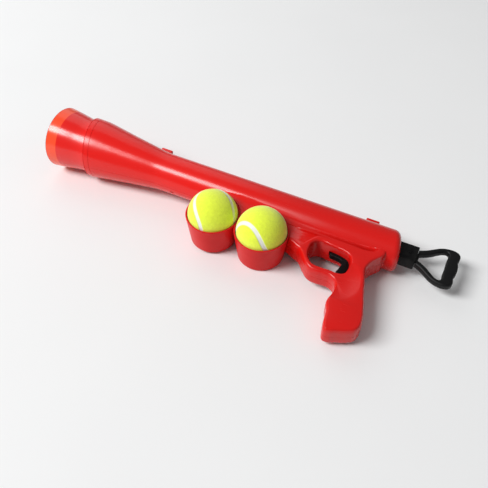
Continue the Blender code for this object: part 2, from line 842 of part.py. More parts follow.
def pivot_pin(name, pivot):
    """A steel pin held between the two shells."""
    reach = frame_top_half - wall - gap
    made = cross_disc(name, reach, pivot_pin_radius, pivot)
    return finished(made, name, steel, (*pivot, 0.0))


def coil(name, radius, wire, turns, points, start, end, axis, centre, finish):
    """A round wire wound along X or Z as one unbroken tube."""
    curve = bpy.data.curves.new(name, "CURVE")
    curve.dimensions = "3D"
    curve.bevel_depth = wire
    curve.bevel_resolution = 1
    curve.use_fill_caps = True
    spline = curve.splines.new("POLY")
    count = round(turns * points)
    spline.points.add(count)
    for number in range(count + 1):
        share = number / count
        angle = math.tau * turns * share
        along = start + (end - start) * share
        across = (radius * math.cos(angle), radius * math.sin(angle))
        place = (along, *across) if axis == "X" else (*across, along)
        spline.points[number].co = (*(Vector(place) + Vector(centre)), 1.0)
    made = bpy.data.objects.new(name, curve)
    cutters.objects.link(made)
    mesh = baked(made)
    bpy.data.objects.remove(made)
    return finished(solid(name, mesh), name, finish)


def main_spring():
    """The spring that drives the piston, wound round the pull bar."""
    start = piston_start + piston_thickness + spring_wire_radius + gap
    end = seat_station - spring_wire_radius - gap
    pitch_gap = (end - start) / spring_turns - 2 * spring_wire_radius
    print("least gap between the turns of the main spring, metres:", round(pitch_gap, 5))
    return coil("main_spring", spring_radius, spring_wire_radius, spring_turns, spring_points,
                start, end, "X", (0.0, 0.0, 0.0), steel)


def torsion_spring(name, pivot, side):
    """A small spring round a pivot pin, between the lever and the shell's boss."""
    start = side * (trigger_half_thickness + gap + torsion_wire_radius)
    end = side * (trigger_half_thickness + gap + torsion_height - torsion_wire_radius)
    return coil(name, torsion_radius, torsion_wire_radius, torsion_turns, torsion_points,
                start, end, "Z", (*pivot, 0.0), steel)


def ball(name, station):
    """A tennis ball wedged in its cup."""
    work = bmesh.new()
    bmesh.ops.create_uvsphere(work, u_segments=turned_segments // 2, v_segments=small_segments,
                              radius=ball_radius)
    mesh = bpy.data.meshes.new(name)
    work.to_mesh(mesh)
    work.free()
    mesh.transform(Matrix.Translation((station, -ball_drop, ball_height)))
    return finished(solid(name, mesh), name, felt, (station, -ball_drop, ball_height))


def resting_angles():
    """Pitch and roll at which the mouth's rim, the barrel's rear and the rear cup touch the table."""
    pitch = math.atan((sleeve_mouth_radius - barrel_rear_radius) / barrel_end_station)
    foot = ball_height + cup_rim_above_ball - cup_depth
    foot_radius = cup_foot_radius - cup_foot_fillet
    low, high = 0.0, math.radians(rake_degrees)
    for _ in range(50):
        roll = (low + high) / 2
        up = (-math.sin(pitch), math.cos(pitch) * math.sin(roll), math.cos(pitch) * math.cos(roll))
        lean = foot_radius * math.hypot(up[0], up[1])
        cup = up[0] * ball_stations[1] - up[1] * ball_drop + up[2] * foot - lean
        if cup > -sleeve_mouth_radius * math.cos(pitch):
            low = roll
        else:
            high = roll
    return pitch, roll


def rest_on_table():
    """Tilt the launcher as it rests and centre it over its lowest point."""
    pitch, roll = resting_angles()
    rest.matrix_world = Matrix.Rotation(pitch, 4, "Y") @ Matrix.Rotation(roll, 4, "X")
    bpy.context.view_layer.update()
    corners = []
    for item in parts.objects:
        if item.type == "MESH":
            corners += [item.matrix_world @ vertex.co for vertex in item.data.vertices]
    low = [min(corner[axis] for corner in corners) for axis in range(3)]
    high = [max(corner[axis] for corner in corners) for axis in range(3)]
    shift = Vector((-(low[0] + high[0]) / 2, -(low[1] + high[1]) / 2, -low[2]))
    rest.matrix_world = Matrix.Translation(shift) @ rest.matrix_world


def build():
    """Model every piece and set the launcher down."""
    housing()
    muzzle_sleeve()
    for name, station, side in zip(("front_ball_cup", "rear_ball_cup"), ball_stations, (1, -1)):
        ball_cup(name, station, side)
    for name, station in zip(("front_ball", "rear_ball"), ball_stations):
        ball(name, station)
    barrel_bumper()
    bored_plate("spring_seat", seat_station, seat_thickness, black_plastic)
    bored_plate("rear_guide", guide_station, guide_thickness, black_plastic)
    main_spring()
    body_screws()
    piston()
    striker_pad()
    pull_bar()
    pull_loop()
    loop_pin()
    trigger_pivot, sear_pivot = pivot_places()
    lever("trigger", trigger_shares, trigger_pivot, trigger_span, trigger_half_thickness,
          trigger_edge, black_plastic)
    lever("sear", sear_shares, sear_pivot, sear_span, sear_half_thickness, sear_edge, steel)
    pivot_pin("trigger_pin", trigger_pivot)
    pivot_pin("sear_pin", sear_pivot)
    torsion_spring("trigger_spring", trigger_pivot, 1)
    torsion_spring("sear_spring", sear_pivot, -1)
    rest_on_table()


build()
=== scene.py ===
"""Looks of a dog ball thrower: a red spring launcher with two tennis balls in its cups."""
import json
import math

import bmesh
import bpy
import numpy as np
from bpy.props import FloatProperty, FloatVectorProperty, IntProperty, PointerProperty
from mathutils import Euler, Matrix, Vector, noise


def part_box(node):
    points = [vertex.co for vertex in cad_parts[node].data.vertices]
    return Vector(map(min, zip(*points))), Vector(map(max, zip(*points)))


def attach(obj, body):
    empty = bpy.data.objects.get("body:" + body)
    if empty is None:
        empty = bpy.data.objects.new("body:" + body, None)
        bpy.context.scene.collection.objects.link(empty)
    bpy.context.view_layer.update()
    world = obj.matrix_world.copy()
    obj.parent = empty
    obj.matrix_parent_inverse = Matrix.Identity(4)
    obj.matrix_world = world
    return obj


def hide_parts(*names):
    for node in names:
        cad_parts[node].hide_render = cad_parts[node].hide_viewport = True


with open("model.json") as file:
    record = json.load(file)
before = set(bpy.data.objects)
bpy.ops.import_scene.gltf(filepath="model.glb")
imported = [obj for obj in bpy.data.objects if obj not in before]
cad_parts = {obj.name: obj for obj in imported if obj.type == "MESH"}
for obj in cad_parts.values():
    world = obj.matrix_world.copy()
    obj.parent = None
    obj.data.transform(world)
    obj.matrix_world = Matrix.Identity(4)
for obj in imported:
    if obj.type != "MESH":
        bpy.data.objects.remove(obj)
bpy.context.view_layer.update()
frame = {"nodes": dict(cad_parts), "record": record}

bl_info = {
    "name": "Dog Ball Thrower",
    "version": (1, 0, 0),
    "blender": (4, 5, 0),
    "location": "3D View > Sidebar > Ball Thrower",
    "description": "Builds the visible pieces, finishes and stage of a ball thrower",
    "category": "Add Mesh",
}

# Radius tables: (share of the length, share of the way from the narrow radius to the wide one)
SLEEVE_SHARES = ((-0.3, 1.276), (0.25, 0.77), (0.50, 0.50), (0.80, 0.12), (1.0, 0.0), (1.3, 0.0))
HORN_SHARES = ((-0.2, 1.0), (0.09, 1.0), (0.50, 0.485), (0.92, 0.0), (1.2, 0.0))

# Rounding of a radius table's corners: share of the length to each side, and readings
SMOOTHING_SHARE = 0.13
SMOOTHING_STEPS = 24

# Section of a collar groove: (share of its width, share of its depth)
GROOVE_SHARES = ((-0.5, 0.0), (-0.4, 0.75), (-0.2, 1.0), (0.2, 1.0), (0.4, 0.75), (0.5, 0.0))

# Outline tables: (share of the length, share of the height or half width)
WEB_SHARES = ((0.0, -0.1), (0.0, -0.4), (0.03, -0.63), (0.08, -0.73), (0.37, -0.73), (0.46, -0.80),
              (0.52, -0.90), (0.57, -0.985), (0.598, -1.02), (0.612, -0.92), (0.625, -0.68),
              (0.655, -0.60), (0.87, -0.60), (0.93, -0.50), (0.985, -0.37), (1.0, -0.1))
FRAME_SHARES = ((0.03, -0.352), (0.07, -0.328), (0.108, -0.288), (0.16, -0.236), (0.217, -0.197),
                (0.318, -0.184), (0.455, -0.176), (0.618, -0.176), (0.773, -0.176), (0.855, -0.155),
                (0.90, -0.105), (0.955, -0.108), (0.966, -0.150), (0.943, -0.190), (0.90, -0.232),
                (0.862, -0.290), (0.847, -0.359), (0.877, -0.433), (0.934, -0.571), (0.986, -0.692),
                (1.018, -0.782), (1.025, -0.859), (0.995, -0.907), (0.936, -0.936), (0.836, -0.968),
                (0.745, -0.994), (0.695, -0.99), (0.668, -0.955), (0.648, -0.885), (0.632, -0.821),
                (0.60, -0.763), (0.598, -0.720), (0.612, -0.678), (0.620, -0.625), (0.598, -0.572),
                (0.527, -0.532), (0.455, -0.528), (0.364, -0.533), (0.268, -0.522), (0.178, -0.468),
                (0.127, -0.425), (0.077, -0.388))
OPENING_SHARES = ((0.198, -0.279), (0.188, -0.343), (0.211, -0.414), (0.245, -0.444),
                  (0.291, -0.467), (0.378, -0.473), (0.491, -0.469), (0.582, -0.471),
                  (0.636, -0.455), (0.658, -0.417), (0.659, -0.365), (0.645, -0.32),
                  (0.609, -0.285), (0.545, -0.268), (0.382, -0.252), (0.245, -0.247))
LOOP_HALF_SHARES = ((-0.10, 0.33), (0.0, 0.40), (0.155, 0.528), (0.316, 0.722), (0.477, 0.903),
                    (0.678, 1.0), (0.859, 0.983), (0.96, 0.868), (0.988, 0.677), (0.968, 0.434),
                    (1.0, 0.191))
LOOP_HOLE_HALF_SHARES = ((0.035, 0.13), (0.15, 0.25), (0.316, 0.424), (0.477, 0.653),
                         (0.585, 0.765), (0.665, 0.775), (0.702, 0.677), (0.695, 0.382))
TRIGGER_SHARES = ((-0.43, -0.23), (-0.437, -0.31), (-0.25, -0.35), (-0.06, -0.39), (0.005, -0.48),
                  (-0.005, -0.62), (-0.03, -0.76), (-0.05, -0.86), (0.03, -0.895), (0.15, -0.86),
                  (0.225, -0.72), (0.245, -0.54), (0.21, -0.36), (0.155, -0.143), (0.12, 0.0),
                  (0.05, 0.10), (-0.05, 0.10), (-0.12, 0.0), (-0.19, -0.19))

# Front and rear end of the loop's hole, and the screws in guard and grip
LOOP_HOLE_END_SHARES = (0.02, 0.70)
FRAME_SCREW_SHARES = ((0.118, -0.365), (0.83, -0.245), (0.80, -0.60), (0.855, -0.85))

# Station of the pull group's joint behind the mouth, in metres
SLIDE_STATION = 0.5


def distance(name, description, default):
    """A length that a user can change, in metres."""
    return FloatProperty(name=name, description=description, default=default, unit="LENGTH",
                         subtype="DISTANCE", precision=5)


def colour(name, description, default):
    """A finish colour that a user can change."""
    return FloatVectorProperty(name=name, description=description, default=default, size=3,
                               subtype="COLOR", min=0.0, max=1.0)


def turn_angle(name, description, degrees):
    """An angle that a user can change."""
    return FloatProperty(name=name, description=description, default=math.radians(degrees),
                         subtype="ANGLE", unit="ROTATION")


def turn_angles(name, description, degrees):
    """A turn about three axes that a user can change."""
    return FloatVectorProperty(name=name, description=description, size=3, subtype="EULER",
                               default=[math.radians(turn) for turn in degrees], unit="ROTATION")


def watts(name, description, default):
    """A lamp's power that a user can change, in watts."""
    return FloatProperty(name=name, description=description, default=default, unit="POWER")


def position(name, description, default):
    """A place in the launcher's own frame that a user can change."""
    return FloatVectorProperty(name=name, description=description, default=default, size=3,
                               subtype="TRANSLATION", unit="LENGTH")


def heading(name, description, default):
    """A direction in the launcher's own frame that a user can change."""
    return FloatVectorProperty(name=name, description=description, default=default, size=3,
                               subtype="DIRECTION")


class HousingSizes(bpy.types.PropertyGroup):
    """Sizes of the red body, in the launcher's own frame."""

    gap: distance("Gap", "Clearance between neighbouring pieces", 0.0003)
    mouth_radius: distance("Mouth radius", "Outer radius of the sleeve at the mouth", 0.0436)
    sleeve_rear_radius: distance("Sleeve rear radius", "Outer radius at the sleeve's rear", 0.0370)
    sleeve_length: distance("Sleeve length", "Length of the flared sleeve", 0.050)
    sleeve_wall: distance("Sleeve wall", "Wall of the sleeve", 0.0020)
    band_length: distance("Band length", "Unlined band at the mouth", 0.016)
    liner_wall: distance("Liner wall", "Wall of the horn's liner", 0.0018)
    collar_station: distance("Collar station", "Raked front edge of the collar", 0.053)
    collar_radius: distance("Collar radius", "Outer radius of the collar", 0.0416)
    collar_length: distance("Collar length", "Front edge to the groove", 0.0092)
    throat_blend: distance("Throat blend", "How far the liner runs into the horn", 0.012)
    horn_length: distance("Horn length", "Collar to barrel", 0.127)
    rake: turn_angle("Rake", "Slant of the collar and of the rear face", 13.0)
    barrel_radius: distance("Barrel radius", "Outer radius at the barrel's front", 0.0265)
    barrel_rear_radius: distance("Barrel rear radius", "Outer radius at its rear", 0.0258)
    barrel_end: distance("Barrel end", "Station of the rear face", 0.509)
    rear_rounding: distance("Rear rounding", "Rounding of the rear face's edge", 0.0080)
    collar_rounding: distance("Collar rounding", "Rounding of the collar's front edge", 0.0005)
    wall: distance("Wall", "Wall of the body", 0.0025)
    bore_radius: distance("Bore radius", "Inner radius of the barrel", 0.0233)
    lip_radius: distance("Lip radius", "Inner radius of the lip in the bore", 0.0190)
    lip_thickness: distance("Lip thickness", "Length of the lip", 0.003)
    seam_width: distance("Seam width", "Width of the line between the halves", 0.0003)
    groove_width: distance("Groove width", "Width of the collar's two grooves", 0.0007)
    groove_depth: distance("Groove depth", "Depth of the collar's two grooves", 0.0006)
    web_front: distance("Web front", "Station of the web's front", 0.262)
    web_length: distance("Web length", "Length of the web", 0.238)
    web_drop: distance("Web drop", "Scale of the web's outline below the axis", 0.060)
    web_front_half: distance("Web front half", "Half thickness at the cups", 0.0200)
    web_rear_half: distance("Web rear half", "Half thickness at the guard", 0.0159)
    web_taper_start: distance("Web taper start", "Where the web starts to narrow", 0.285)
    web_taper_end: distance("Web taper end", "Where it stops", 0.378)
    flank_front: distance("Flank front", "Front of the filling between barrel and web", 0.268)
    flank_rear: distance("Flank rear", "Rear of the filling", 0.482)
    flank_fade: distance("Flank fade", "Length over which it fades at its ends", 0.030)
    flank_drop: distance("Flank drop", "Drop where the filling meets the web", 0.0275)
    flank_turn: turn_angle("Flank turn", "Where it leaves the barrel, from straight down", 62.0)
    web_edge: distance("Web edge", "Rounding of the web's edge", 0.0034)
    frame_front: distance("Frame front", "Station of the guard's front", 0.390)
    frame_length: distance("Frame length", "Length of the guard and grip", 0.110)
    frame_drop: distance("Frame drop", "Height of the guard and grip", 0.156)
    frame_top_half: distance("Frame top half", "Half thickness at the top", 0.0168)
    frame_grip_half: distance("Grip half", "Half thickness of the grip", 0.0140)
    frame_taper_top: distance("Frame taper top", "Drop where it starts to narrow", 0.045)
    frame_taper_bottom: distance("Frame taper bottom", "Drop where it stops", 0.080)
    frame_edge: distance("Frame edge", "Rounding of the guard and grip in their outline", 0.0034)
    frame_edge_height: distance("Frame edge height", "Rounding across their thickness", 0.0066)
    frame_step: distance("Frame step", "Rounding of the upper edge across the thickness", 0.0014)
    frame_step_drop: distance("Frame step drop", "Drop where the upper edge's rounding ends", 0.034)
    frame_edge_drop: distance("Frame edge drop", "Drop where the full rounding starts", 0.054)
    lug_length: distance("Lug length", "Length of the lugs on the top seam", 0.0178)
    lug_half_width: distance("Lug half width", "Half thickness of a lug", 0.003)
    lug_rise: distance("Lug rise", "Height of a lug", 0.0120)
    front_lug: distance("Front lug", "Station of the front lug", 0.1530)
    rear_lug: distance("Rear lug", "Station of the rear lug", 0.4645)
    front_notch: distance("Front notch", "Station of the front snap notch", 0.0952)
    rear_notch: distance("Rear notch", "Station of the rear snap notch", 0.1968)
    front_notch_turn: turn_angle("Front notch turn", "Front notch round the horn", 37.0)
    rear_notch_turn: turn_angle("Rear notch turn", "Rear notch round the barrel", 18.0)
    notch_length: distance("Notch length", "Length of a snap notch", 0.0052)
    notch_width: distance("Notch width", "Width of a snap notch", 0.0030)
    scoop_station: distance("Scoop station", "Middle of the grip's thumb scoop", 0.4526)
    scoop_drop: distance("Scoop drop", "Drop of the scoop's middle", 0.0818)
    scoop_radius: distance("Scoop radius", "Radius of the scoop's edge", 0.0312)
    scoop_depth: distance("Scoop depth", "Depth of the scoop at its lower edge", 0.0016)
    scoop_edge: distance("Scoop edge", "Width of the slope at the scoop's edge", 0.0026)
    scoop_lean: turn_angle("Scoop lean", "How steeply the scoop runs out upward", 3.4)


class CupSizes(bpy.types.PropertyGroup):
    """Sizes of the two ball cups."""

    front_station: distance("Front station", "Station of the front cup", 0.278)
    spacing: distance("Spacing", "Distance between the cups", 0.0686)
    drop: distance("Drop", "Distance of the cups below the barrel's axis", 0.0567)
    rim_above_ball: distance("Rim above ball", "Rim above the ball's middle", 0.002)
    depth: distance("Depth", "Height of a cup", 0.0446)
    rim_radius: distance("Rim radius", "Outer radius of the rim", 0.0350)
    foot_radius: distance("Foot radius", "Outer radius of the foot", 0.0302)
    wall: distance("Wall", "Wall of a cup", 0.0018)
    floor: distance("Floor", "Floor of a cup", 0.0025)
    foot_fillet: distance("Foot fillet", "Rounding of the foot", 0.003)


class BallSizes(bpy.types.PropertyGroup):
    """Sizes of the two tennis balls."""

    radius: distance("Radius", "Radius of a ball", 0.0325)
    height: distance("Height", "Height of a ball's middle above the barrel's axis", 0.0162)
    seam_half_width: distance("Seam half width", "Half the width of the seam", 0.0026)
    seam_depth: distance("Seam depth", "Depth of the seam in the felt", 0.0004)
    nap: distance("Nap", "Unevenness of the felt", 0.00022)
    front_turn: turn_angles("Front ball turn", "How the front ball lies", (274.4, 136.4, 227.0))
    rear_turn: turn_angles("Rear ball turn", "How the rear ball lies", (18.0, 170.6, 29.6))


class PullSizes(bpy.types.PropertyGroup):
    """Sizes of the pull bar, loop and piston."""

    bar_height: distance("Bar height", "Height of the bar", 0.026)
    bar_width: distance("Bar width", "Width of the bar", 0.016)
    bar_end: distance("Bar end", "Station of the bar's rear end", 0.532)
    bar_bevel: distance("Bar bevel", "Bevel of the bar's edges", 0.0012)
    slide_clearance: distance("Slide clearance", "Room round the bar in its opening", 0.0005)
    travel: distance("Travel", "Cocking travel", 0.130)
    notch_length: distance("Notch length", "Length of the sear's notch", 0.008)
    notch_depth: distance("Notch depth", "Depth of the sear's notch", 0.004)
    window_length: distance("Window length", "Length of a window in the bar", 0.018)
    window_height: distance("Window height", "Height of a window", 0.012)
    window_pitch: distance("Window pitch", "Distance between windows", 0.025)
    window_start: distance("Window start", "Station of the first window", 0.200)
    windows: IntProperty(name="Windows", description="Windows in the bar", default=5, min=0)
    loop_length: distance("Loop length", "Length of the hand loop", 0.0497)
    loop_half_width: distance("Loop half width", "Half the width of the loop", 0.0299)
    loop_half_thickness: distance("Loop half thickness", "Half its thickness", 0.0045)
    loop_edge: distance("Loop edge", "Rounding of the loop", 0.0024)
    tongue_height: distance("Tongue height", "Height of the tongue in the bar", 0.012)
    tongue_half: distance("Tongue half", "Half thickness of the tongue", 0.003)
    tongue_length: distance("Tongue length", "How far the tongue enters the bar", 0.018)
    pin_radius: distance("Pin radius", "Radius of the loop's pin", 0.002)
    pin_inset: distance("Pin inset", "Pin to the bar's rear end", 0.009)
    piston_length: distance("Piston length", "Length of the piston's disc", 0.012)
    bumper_length: distance("Bumper length", "Length of the rubber bumper", 0.008)


class TriggerSizes(bpy.types.PropertyGroup):
    """Sizes of the trigger and of its room."""

    pivot_station: distance("Pivot station", "Station of the trigger's pin", 0.452)
    pivot_drop: distance("Pivot drop", "Drop of the trigger's pin", 0.030)
    span: distance("Span", "Scale of the trigger's outline", 0.042)
    half_thickness: distance("Half thickness", "Half the trigger's thickness", 0.004)
    edge: distance("Edge", "Rounding of the trigger", 0.0012)
    pin_radius: distance("Pin radius", "Radius of the pivot pin", 0.0013)
    slot_front: distance("Slot front", "Front of the trigger's slot", 0.4315)
    slot_rear: distance("Slot rear", "Rear of the trigger's slot", 0.473)
    slot_bottom: distance("Slot bottom", "Bottom of the trigger's slot", 0.069)
    room_rear: distance("Room rear", "Rear of the mechanism's room", 0.4815)


class ScrewSizes(bpy.types.PropertyGroup):
    """Sizes of the body screws."""

    head_radius: distance("Head radius", "Radius of a screw head", 0.0026)
    head_height: distance("Head height", "Height of a screw head", 0.0018)
    boss_radius: distance("Boss radius", "Radius of the boss round a screw", 0.0036)
    front_drop: distance("Front drop", "Screw between the cups, below the barrel", 0.0101)
    rear_drop: distance("Rear drop", "Screw behind the cups, below the barrel", 0.0155)
    shank_radius: distance("Shank radius", "Radius of a screw's shank", 0.0013)
    recess: distance("Recess", "Depth of the pocket under the body's face", 0.0030)
    tip_height: distance("Tip height", "Height of a screw's tip", 0.0080)
    slot_width: distance("Slot width", "Width of the cross slot", 0.0007)
    slot_depth: distance("Slot depth", "Depth of the cross slot", 0.0009)


class Finishes(bpy.types.PropertyGroup):
    """Colours of the finishes."""

    # The red and the shaded red are one plastic: the body is painted lighter red at the horn and
    # darker toward the grip, as painted light that falls off along the body.
    red: colour("Red", "Glossy body plastic where the wall is thin", (0.80, 0.009, 0.006))
    shaded_red: colour("Deep red", "The same plastic at the grip", (0.66, 0.006, 0.004))
    crimson: colour("Crimson", "Cup plastic", (0.70, 0.012, 0.012))
    band: colour("Band", "Unlined band at the mouth", (1.0, 0.080, 0.022))
    black: colour("Black", "Moulded black plastic", (0.0025, 0.0025, 0.0028))
    rubber: colour("Rubber", "Bumper and pad", (0.018, 0.018, 0.018))
    steel: colour("Steel", "Screws, pins and springs", (0.55, 0.55, 0.57))
    felt: colour("Felt", "Tennis ball felt", (0.84, 1.0, 0.048))
    # Painted sheen: the paler colour that the felt is painted where it is seen edge on.
    felt_sheen_rim: colour("Felt rim", "Nap seen edge on", (0.92, 0.86, 0.17))
    seam: colour("Seam", "Tennis ball seam", (0.86, 0.88, 0.80))
    floor: colour("Floor", "Plain floor", (0.865, 0.870, 0.872))


class StageSizes(bpy.types.PropertyGroup):
    """Camera, lamps and floor."""

    floor_size: distance("Floor size", "Side of the floor", 16.0)
    eye: position("Eye", "Camera's place", (0.5409, -0.5182, 0.5739))
    forward: heading("Forward", "Camera's direction", (-0.2786, 0.5893, -0.7584))
    upward: heading("Upward", "Camera's upward direction", (-0.3334, 0.6812, 0.6518))
    view_angle: turn_angle("View angle", "Camera's angle of view", 44.26)
    near_limit: distance("Near limit", "Nearest thing that the camera shows", 0.01)
    key_place: position("Key place", "Middle of the long soft lamp", (-2.60, -2.12, 3.84))
    key_aim: distance("Key aim", "Station that it faces", 0.15)
    key_length: distance("Key length", "Its length", 3.10)
    key_height: distance("Key height", "Its height", 1.7)
    key_power: watts("Key power", "Its power", 268.0)
    top_place: position("Top place", "Middle of the square lamp behind", (-1.50, 1.65, 1.45))
    top_aim: distance("Top aim", "Station that it faces", 0.2)
    top_side: distance("Top side", "Its side", 2.4)
    top_power: watts("Top power", "Its power", 12.0)
    fill: FloatProperty(name="Fill", description="Strength of the pale surroundings", default=0.26)


class LauncherSettings(bpy.types.PropertyGroup):
    """Everything that a user can change."""

    housing: PointerProperty(type=HousingSizes, name="Housing", description="Body sizes")
    cups: PointerProperty(type=CupSizes, name="Cups", description="Cup sizes")
    balls: PointerProperty(type=BallSizes, name="Balls", description="Ball sizes")
    pull: PointerProperty(type=PullSizes, name="Pull", description="Pull bar and loop sizes")
    trigger: PointerProperty(type=TriggerSizes, name="Trigger", description="Trigger sizes")
    screws: PointerProperty(type=ScrewSizes, name="Screws", description="Screw sizes")
    finishes: PointerProperty(type=Finishes, name="Finishes", description="Colours")
    stage: PointerProperty(type=StageSizes, name="Stage", description="Camera and lamps")


# Roundness of the pieces: places round a circle, and steps along a curve
TURNED_SEGMENTS = 144
SCOOP_SEGMENTS = 96
SMALL_SEGMENTS = 32
HORN_STEPS = 48
BARREL_STEPS = 40
FLANK_STEPS = 32
SLEEVE_STEPS = 24
BORE_STEPS = 24
THROAT_STEPS = 16
LINER_STEPS = 12
VALLEY_STEPS = 10
OUTLINE_STEPS = 8
EDGE_STEPS = 4

# Corners sharper than these are shaded crisp, and are bevelled
CREASE = math.radians(32)
BEVEL_CREASE = math.radians(40)

# How far a cutting tool runs out of the solid that it cuts
OVERRUN = 0.004

# Passes that settle where a raked ring lies on the horn
RAKE_PASSES = 4

# Share of its full size that the filling between barrel and web has at its two ends
FLANK_END_SHARE = 0.04

# Shape of a ball's seam: its wide and its narrow sweep round a ball of radius 1
SEAM_WIDE = 0.84
SEAM_NARROW = 0.16

# Fineness of the balls: points of the seam, how many are looked at together, and the mesh
SEAM_POINTS = 720
SEAM_BATCH = 60
BALL_SUBDIVISIONS = 7

# Scale of the felt's unevenness, and the shares of it all over and in the lip along the seam
FELT_SCALE = 55.0
NAP_SHARE = 0.7
LIP_SHARE = 0.3

# Half the distance over which the sleeve's band turns to its lined part, and the stations where the
# painted shade at the mouth's rim is full and where it ends
BAND_BLEND = 0.0006
RIM_SHADE_FULL = 0.0004
RIM_SHADE_END = 0.0012

# Places in the frame's X between which the red is painted darker: painted shade for light that
# falls off from the horn to the grip
PAINTED_FALLOFF_SPAN = (-0.10, 0.13)

# Colours of wear, of the painted shade along the sleeve's rim at the mouth and of the grime on a
# ball's seam
PALE_RED = (0.90, 0.12, 0.09)
RIM_SHADE_RED = (0.25, 0.012, 0.008)
WORN_GREY = (0.035, 0.034, 0.032)
SEAM_GRIME = (0.55, 0.58, 0.50)

# Scales of the noise in the finishes
FLOW_SCALE = 28.0
MARK_SCALE = 900.0
PATCH_SCALE = 160.0
FIBRE_SCALE = 1400.0
TUFT_SCALE = 260.0
GRIME_SCALE = 90.0
FLOOR_SCALE = 3.0

# Heights of the bumps in the finishes
PLASTIC_DEPTH = 0.0004
FELT_DEPTH = 0.0012
STEEL_DEPTH = 0.0002

# Plastics: roughness, mottle, grain, grain scale, wear, bump strength, specular level
PLASTICS = {
    "red plastic": (0.23, 0.16, 0.12, 1300.0, 0.10, 0.06, 0.45),
    "clear red plastic": (0.22, 0.12, 0.10, 1300.0, 0.08, 0.05, 0.60),
    "crimson plastic": (0.38, 0.30, 0.25, 1100.0, 0.10, 0.14, 0.15),
    "black plastic": (0.42, 0.35, 0.5, 1800.0, 0.30, 0.20, 0.14),
    "grained black plastic": (0.46, 0.4, 1.0, 1400.0, 0.45, 0.40, 0.27),
    "black rubber": (0.80, 0.4, 1.0, 2200.0, 0.2, 0.5, 0.5),
}

# Nodes that keep their own solid, by finish
KEPT_NODES = {
    "black plastic": ("spring_seat", "rear_guide", "piston"),
    "black rubber": ("barrel_bumper", "striker_pad"),
    "steel": ("main_spring", "sear", "trigger_pin", "sear_pin", "trigger_spring", "sear_spring"),
}


def launcher_frame():
    """The launcher's own frame: X rearward along the barrel, Y to its top, Z to its left."""
    joints = {joint["name"]: joint for joint in frame["record"]["behaviour"]["joints"]}
    along = Vector(joints["cocking_slide"]["axis"]).normalized()
    left = Vector(joints["trigger_pull"]["axis"]).normalized()
    top = left.cross(along)
    origin = Vector(joints["cocking_slide"]["pos_m"]) - along * SLIDE_STATION
    turn = Matrix((along, top, left)).transposed().to_4x4()
    return Matrix.Translation(origin) @ turn


# Solid tools


def between(value, start, end):
    """Tell how far a value lies from a start to an end, from 0 to 1."""
    return min(1.0, max(0.0, (value - start) / (end - start)))


def straight_read(table, place):
    """Read a table of (place, value) on straight lines between its points."""
    for (start, low), (end, high) in zip(table, table[1:]):
        if place <= end:
            return low + (high - low) * between(place, start, end)
    return table[-1][1]


def smooth_read(table, place):
    """Read a table on straight lines whose corners are rounded over the smoothing share."""
    total = 0.0
    weights = 0.0
    for shift in steps(-1.0, 1.0, SMOOTHING_STEPS):
        weight = (1 - shift * shift) ** 2
        total += weight * straight_read(table, place + shift * SMOOTHING_SHARE)
        weights += weight
    return total / weights


def steps(start, end, count):
    """Evenly spaced places from a start to an end."""
    return [start + (end - start) * number / count for number in range(count + 1)]


def raw_object(name, data):
    """Put a mesh, curve, lamp or camera in the scene."""
    made = bpy.data.objects.new(name, data)
    bpy.context.scene.collection.objects.link(made)
    return made


def mesh_of(name, work):
    """Turn the faces of a bmesh outward and make it a working solid."""
    bmesh.ops.recalc_face_normals(work, faces=work.faces)
    mesh = bpy.data.meshes.new(name)
    work.to_mesh(mesh)
    work.free()
    return raw_object(name, mesh)


def bake(item):
    """Apply an object's modifiers to its mesh."""
    bpy.context.view_layer.update()
    graph = bpy.context.evaluated_depsgraph_get()
    item.data = bpy.data.meshes.new_from_object(item.evaluated_get(graph))
    item.modifiers.clear()
    return item


def skinned(name, rings, closed=False):
    """Join rings of places into a solid; a ring of one place is a centre."""
    work = bmesh.new()
    made = [[work.verts.new(place) for place in ring] for ring in rings]
    pairs = list(zip(made, made[1:]))
    if closed:
        pairs.append((made[-1], made[0]))
    for first, second in pairs:
        count = max(len(first), len(second))
        for number in range(count):
            after = (number + 1) % count
            corners = [first[number % len(first)], second[number % len(second)],
                       second[after % len(second)], first[after % len(first)]]
            corners = list(dict.fromkeys(corners))
            if len(corners) > 2:
                work.faces.new(corners)
    return mesh_of(name, work)


def ring_angles(segments):
    """Angles of the places on a ring."""
    return [math.tau * number / segments for number in range(segments)]


def turned(name, profile, axis="X", segments=TURNED_SEGMENTS, centre=(0.0, 0.0, 0.0)):
    """Turn a profile of (place along the axis, radius) into a closed solid."""
    rings = []
    for along, radius in profile:
        ring = []
        for angle in ring_angles(segments if radius > 0 else 1):
            across = (radius * math.cos(angle), radius * math.sin(angle))
            place = (along, *across) if axis == "X" else (*across, along)
            ring.append(Vector(place) + Vector(centre))
        rings.append(ring)
    return skinned(name, rings, profile[0][1] > 0)


def disc(name, start, end, radius, axis="Z", centre=(0.0, 0.0, 0.0), segments=SMALL_SEGMENTS):
    """Make a cylinder tool between two places along an axis."""
    profile = ((start, 0.0), (start, radius), (end, radius), (end, 0.0))
    return turned(name, profile, axis, segments, centre)


def block(name, low, high):
    """Make a rectangular tool between two corners."""
    work = bmesh.new()
    bmesh.ops.create_cube(work, size=1.0)
    size = [top - bottom for bottom, top in zip(low, high)]
    middle = [(top + bottom) / 2 for bottom, top in zip(low, high)]
    bmesh.ops.transform(work, verts=work.verts,
                        matrix=Matrix.Translation(Vector(middle)) @ Matrix.Diagonal((*size, 1.0)))
    return mesh_of(name, work)


def bar_block(name, start, end, half_height, half_width):
    """Make a rectangular tool that is centred on the barrel's axis."""
    return block(name, (start, -half_height, -half_width), (end, half_height, half_width))


def pin_room(centre, radius, half_length):
    """Make the tool for a pin's hole."""
    return disc("pin room", -half_length, half_length, radius, "Z", centre)


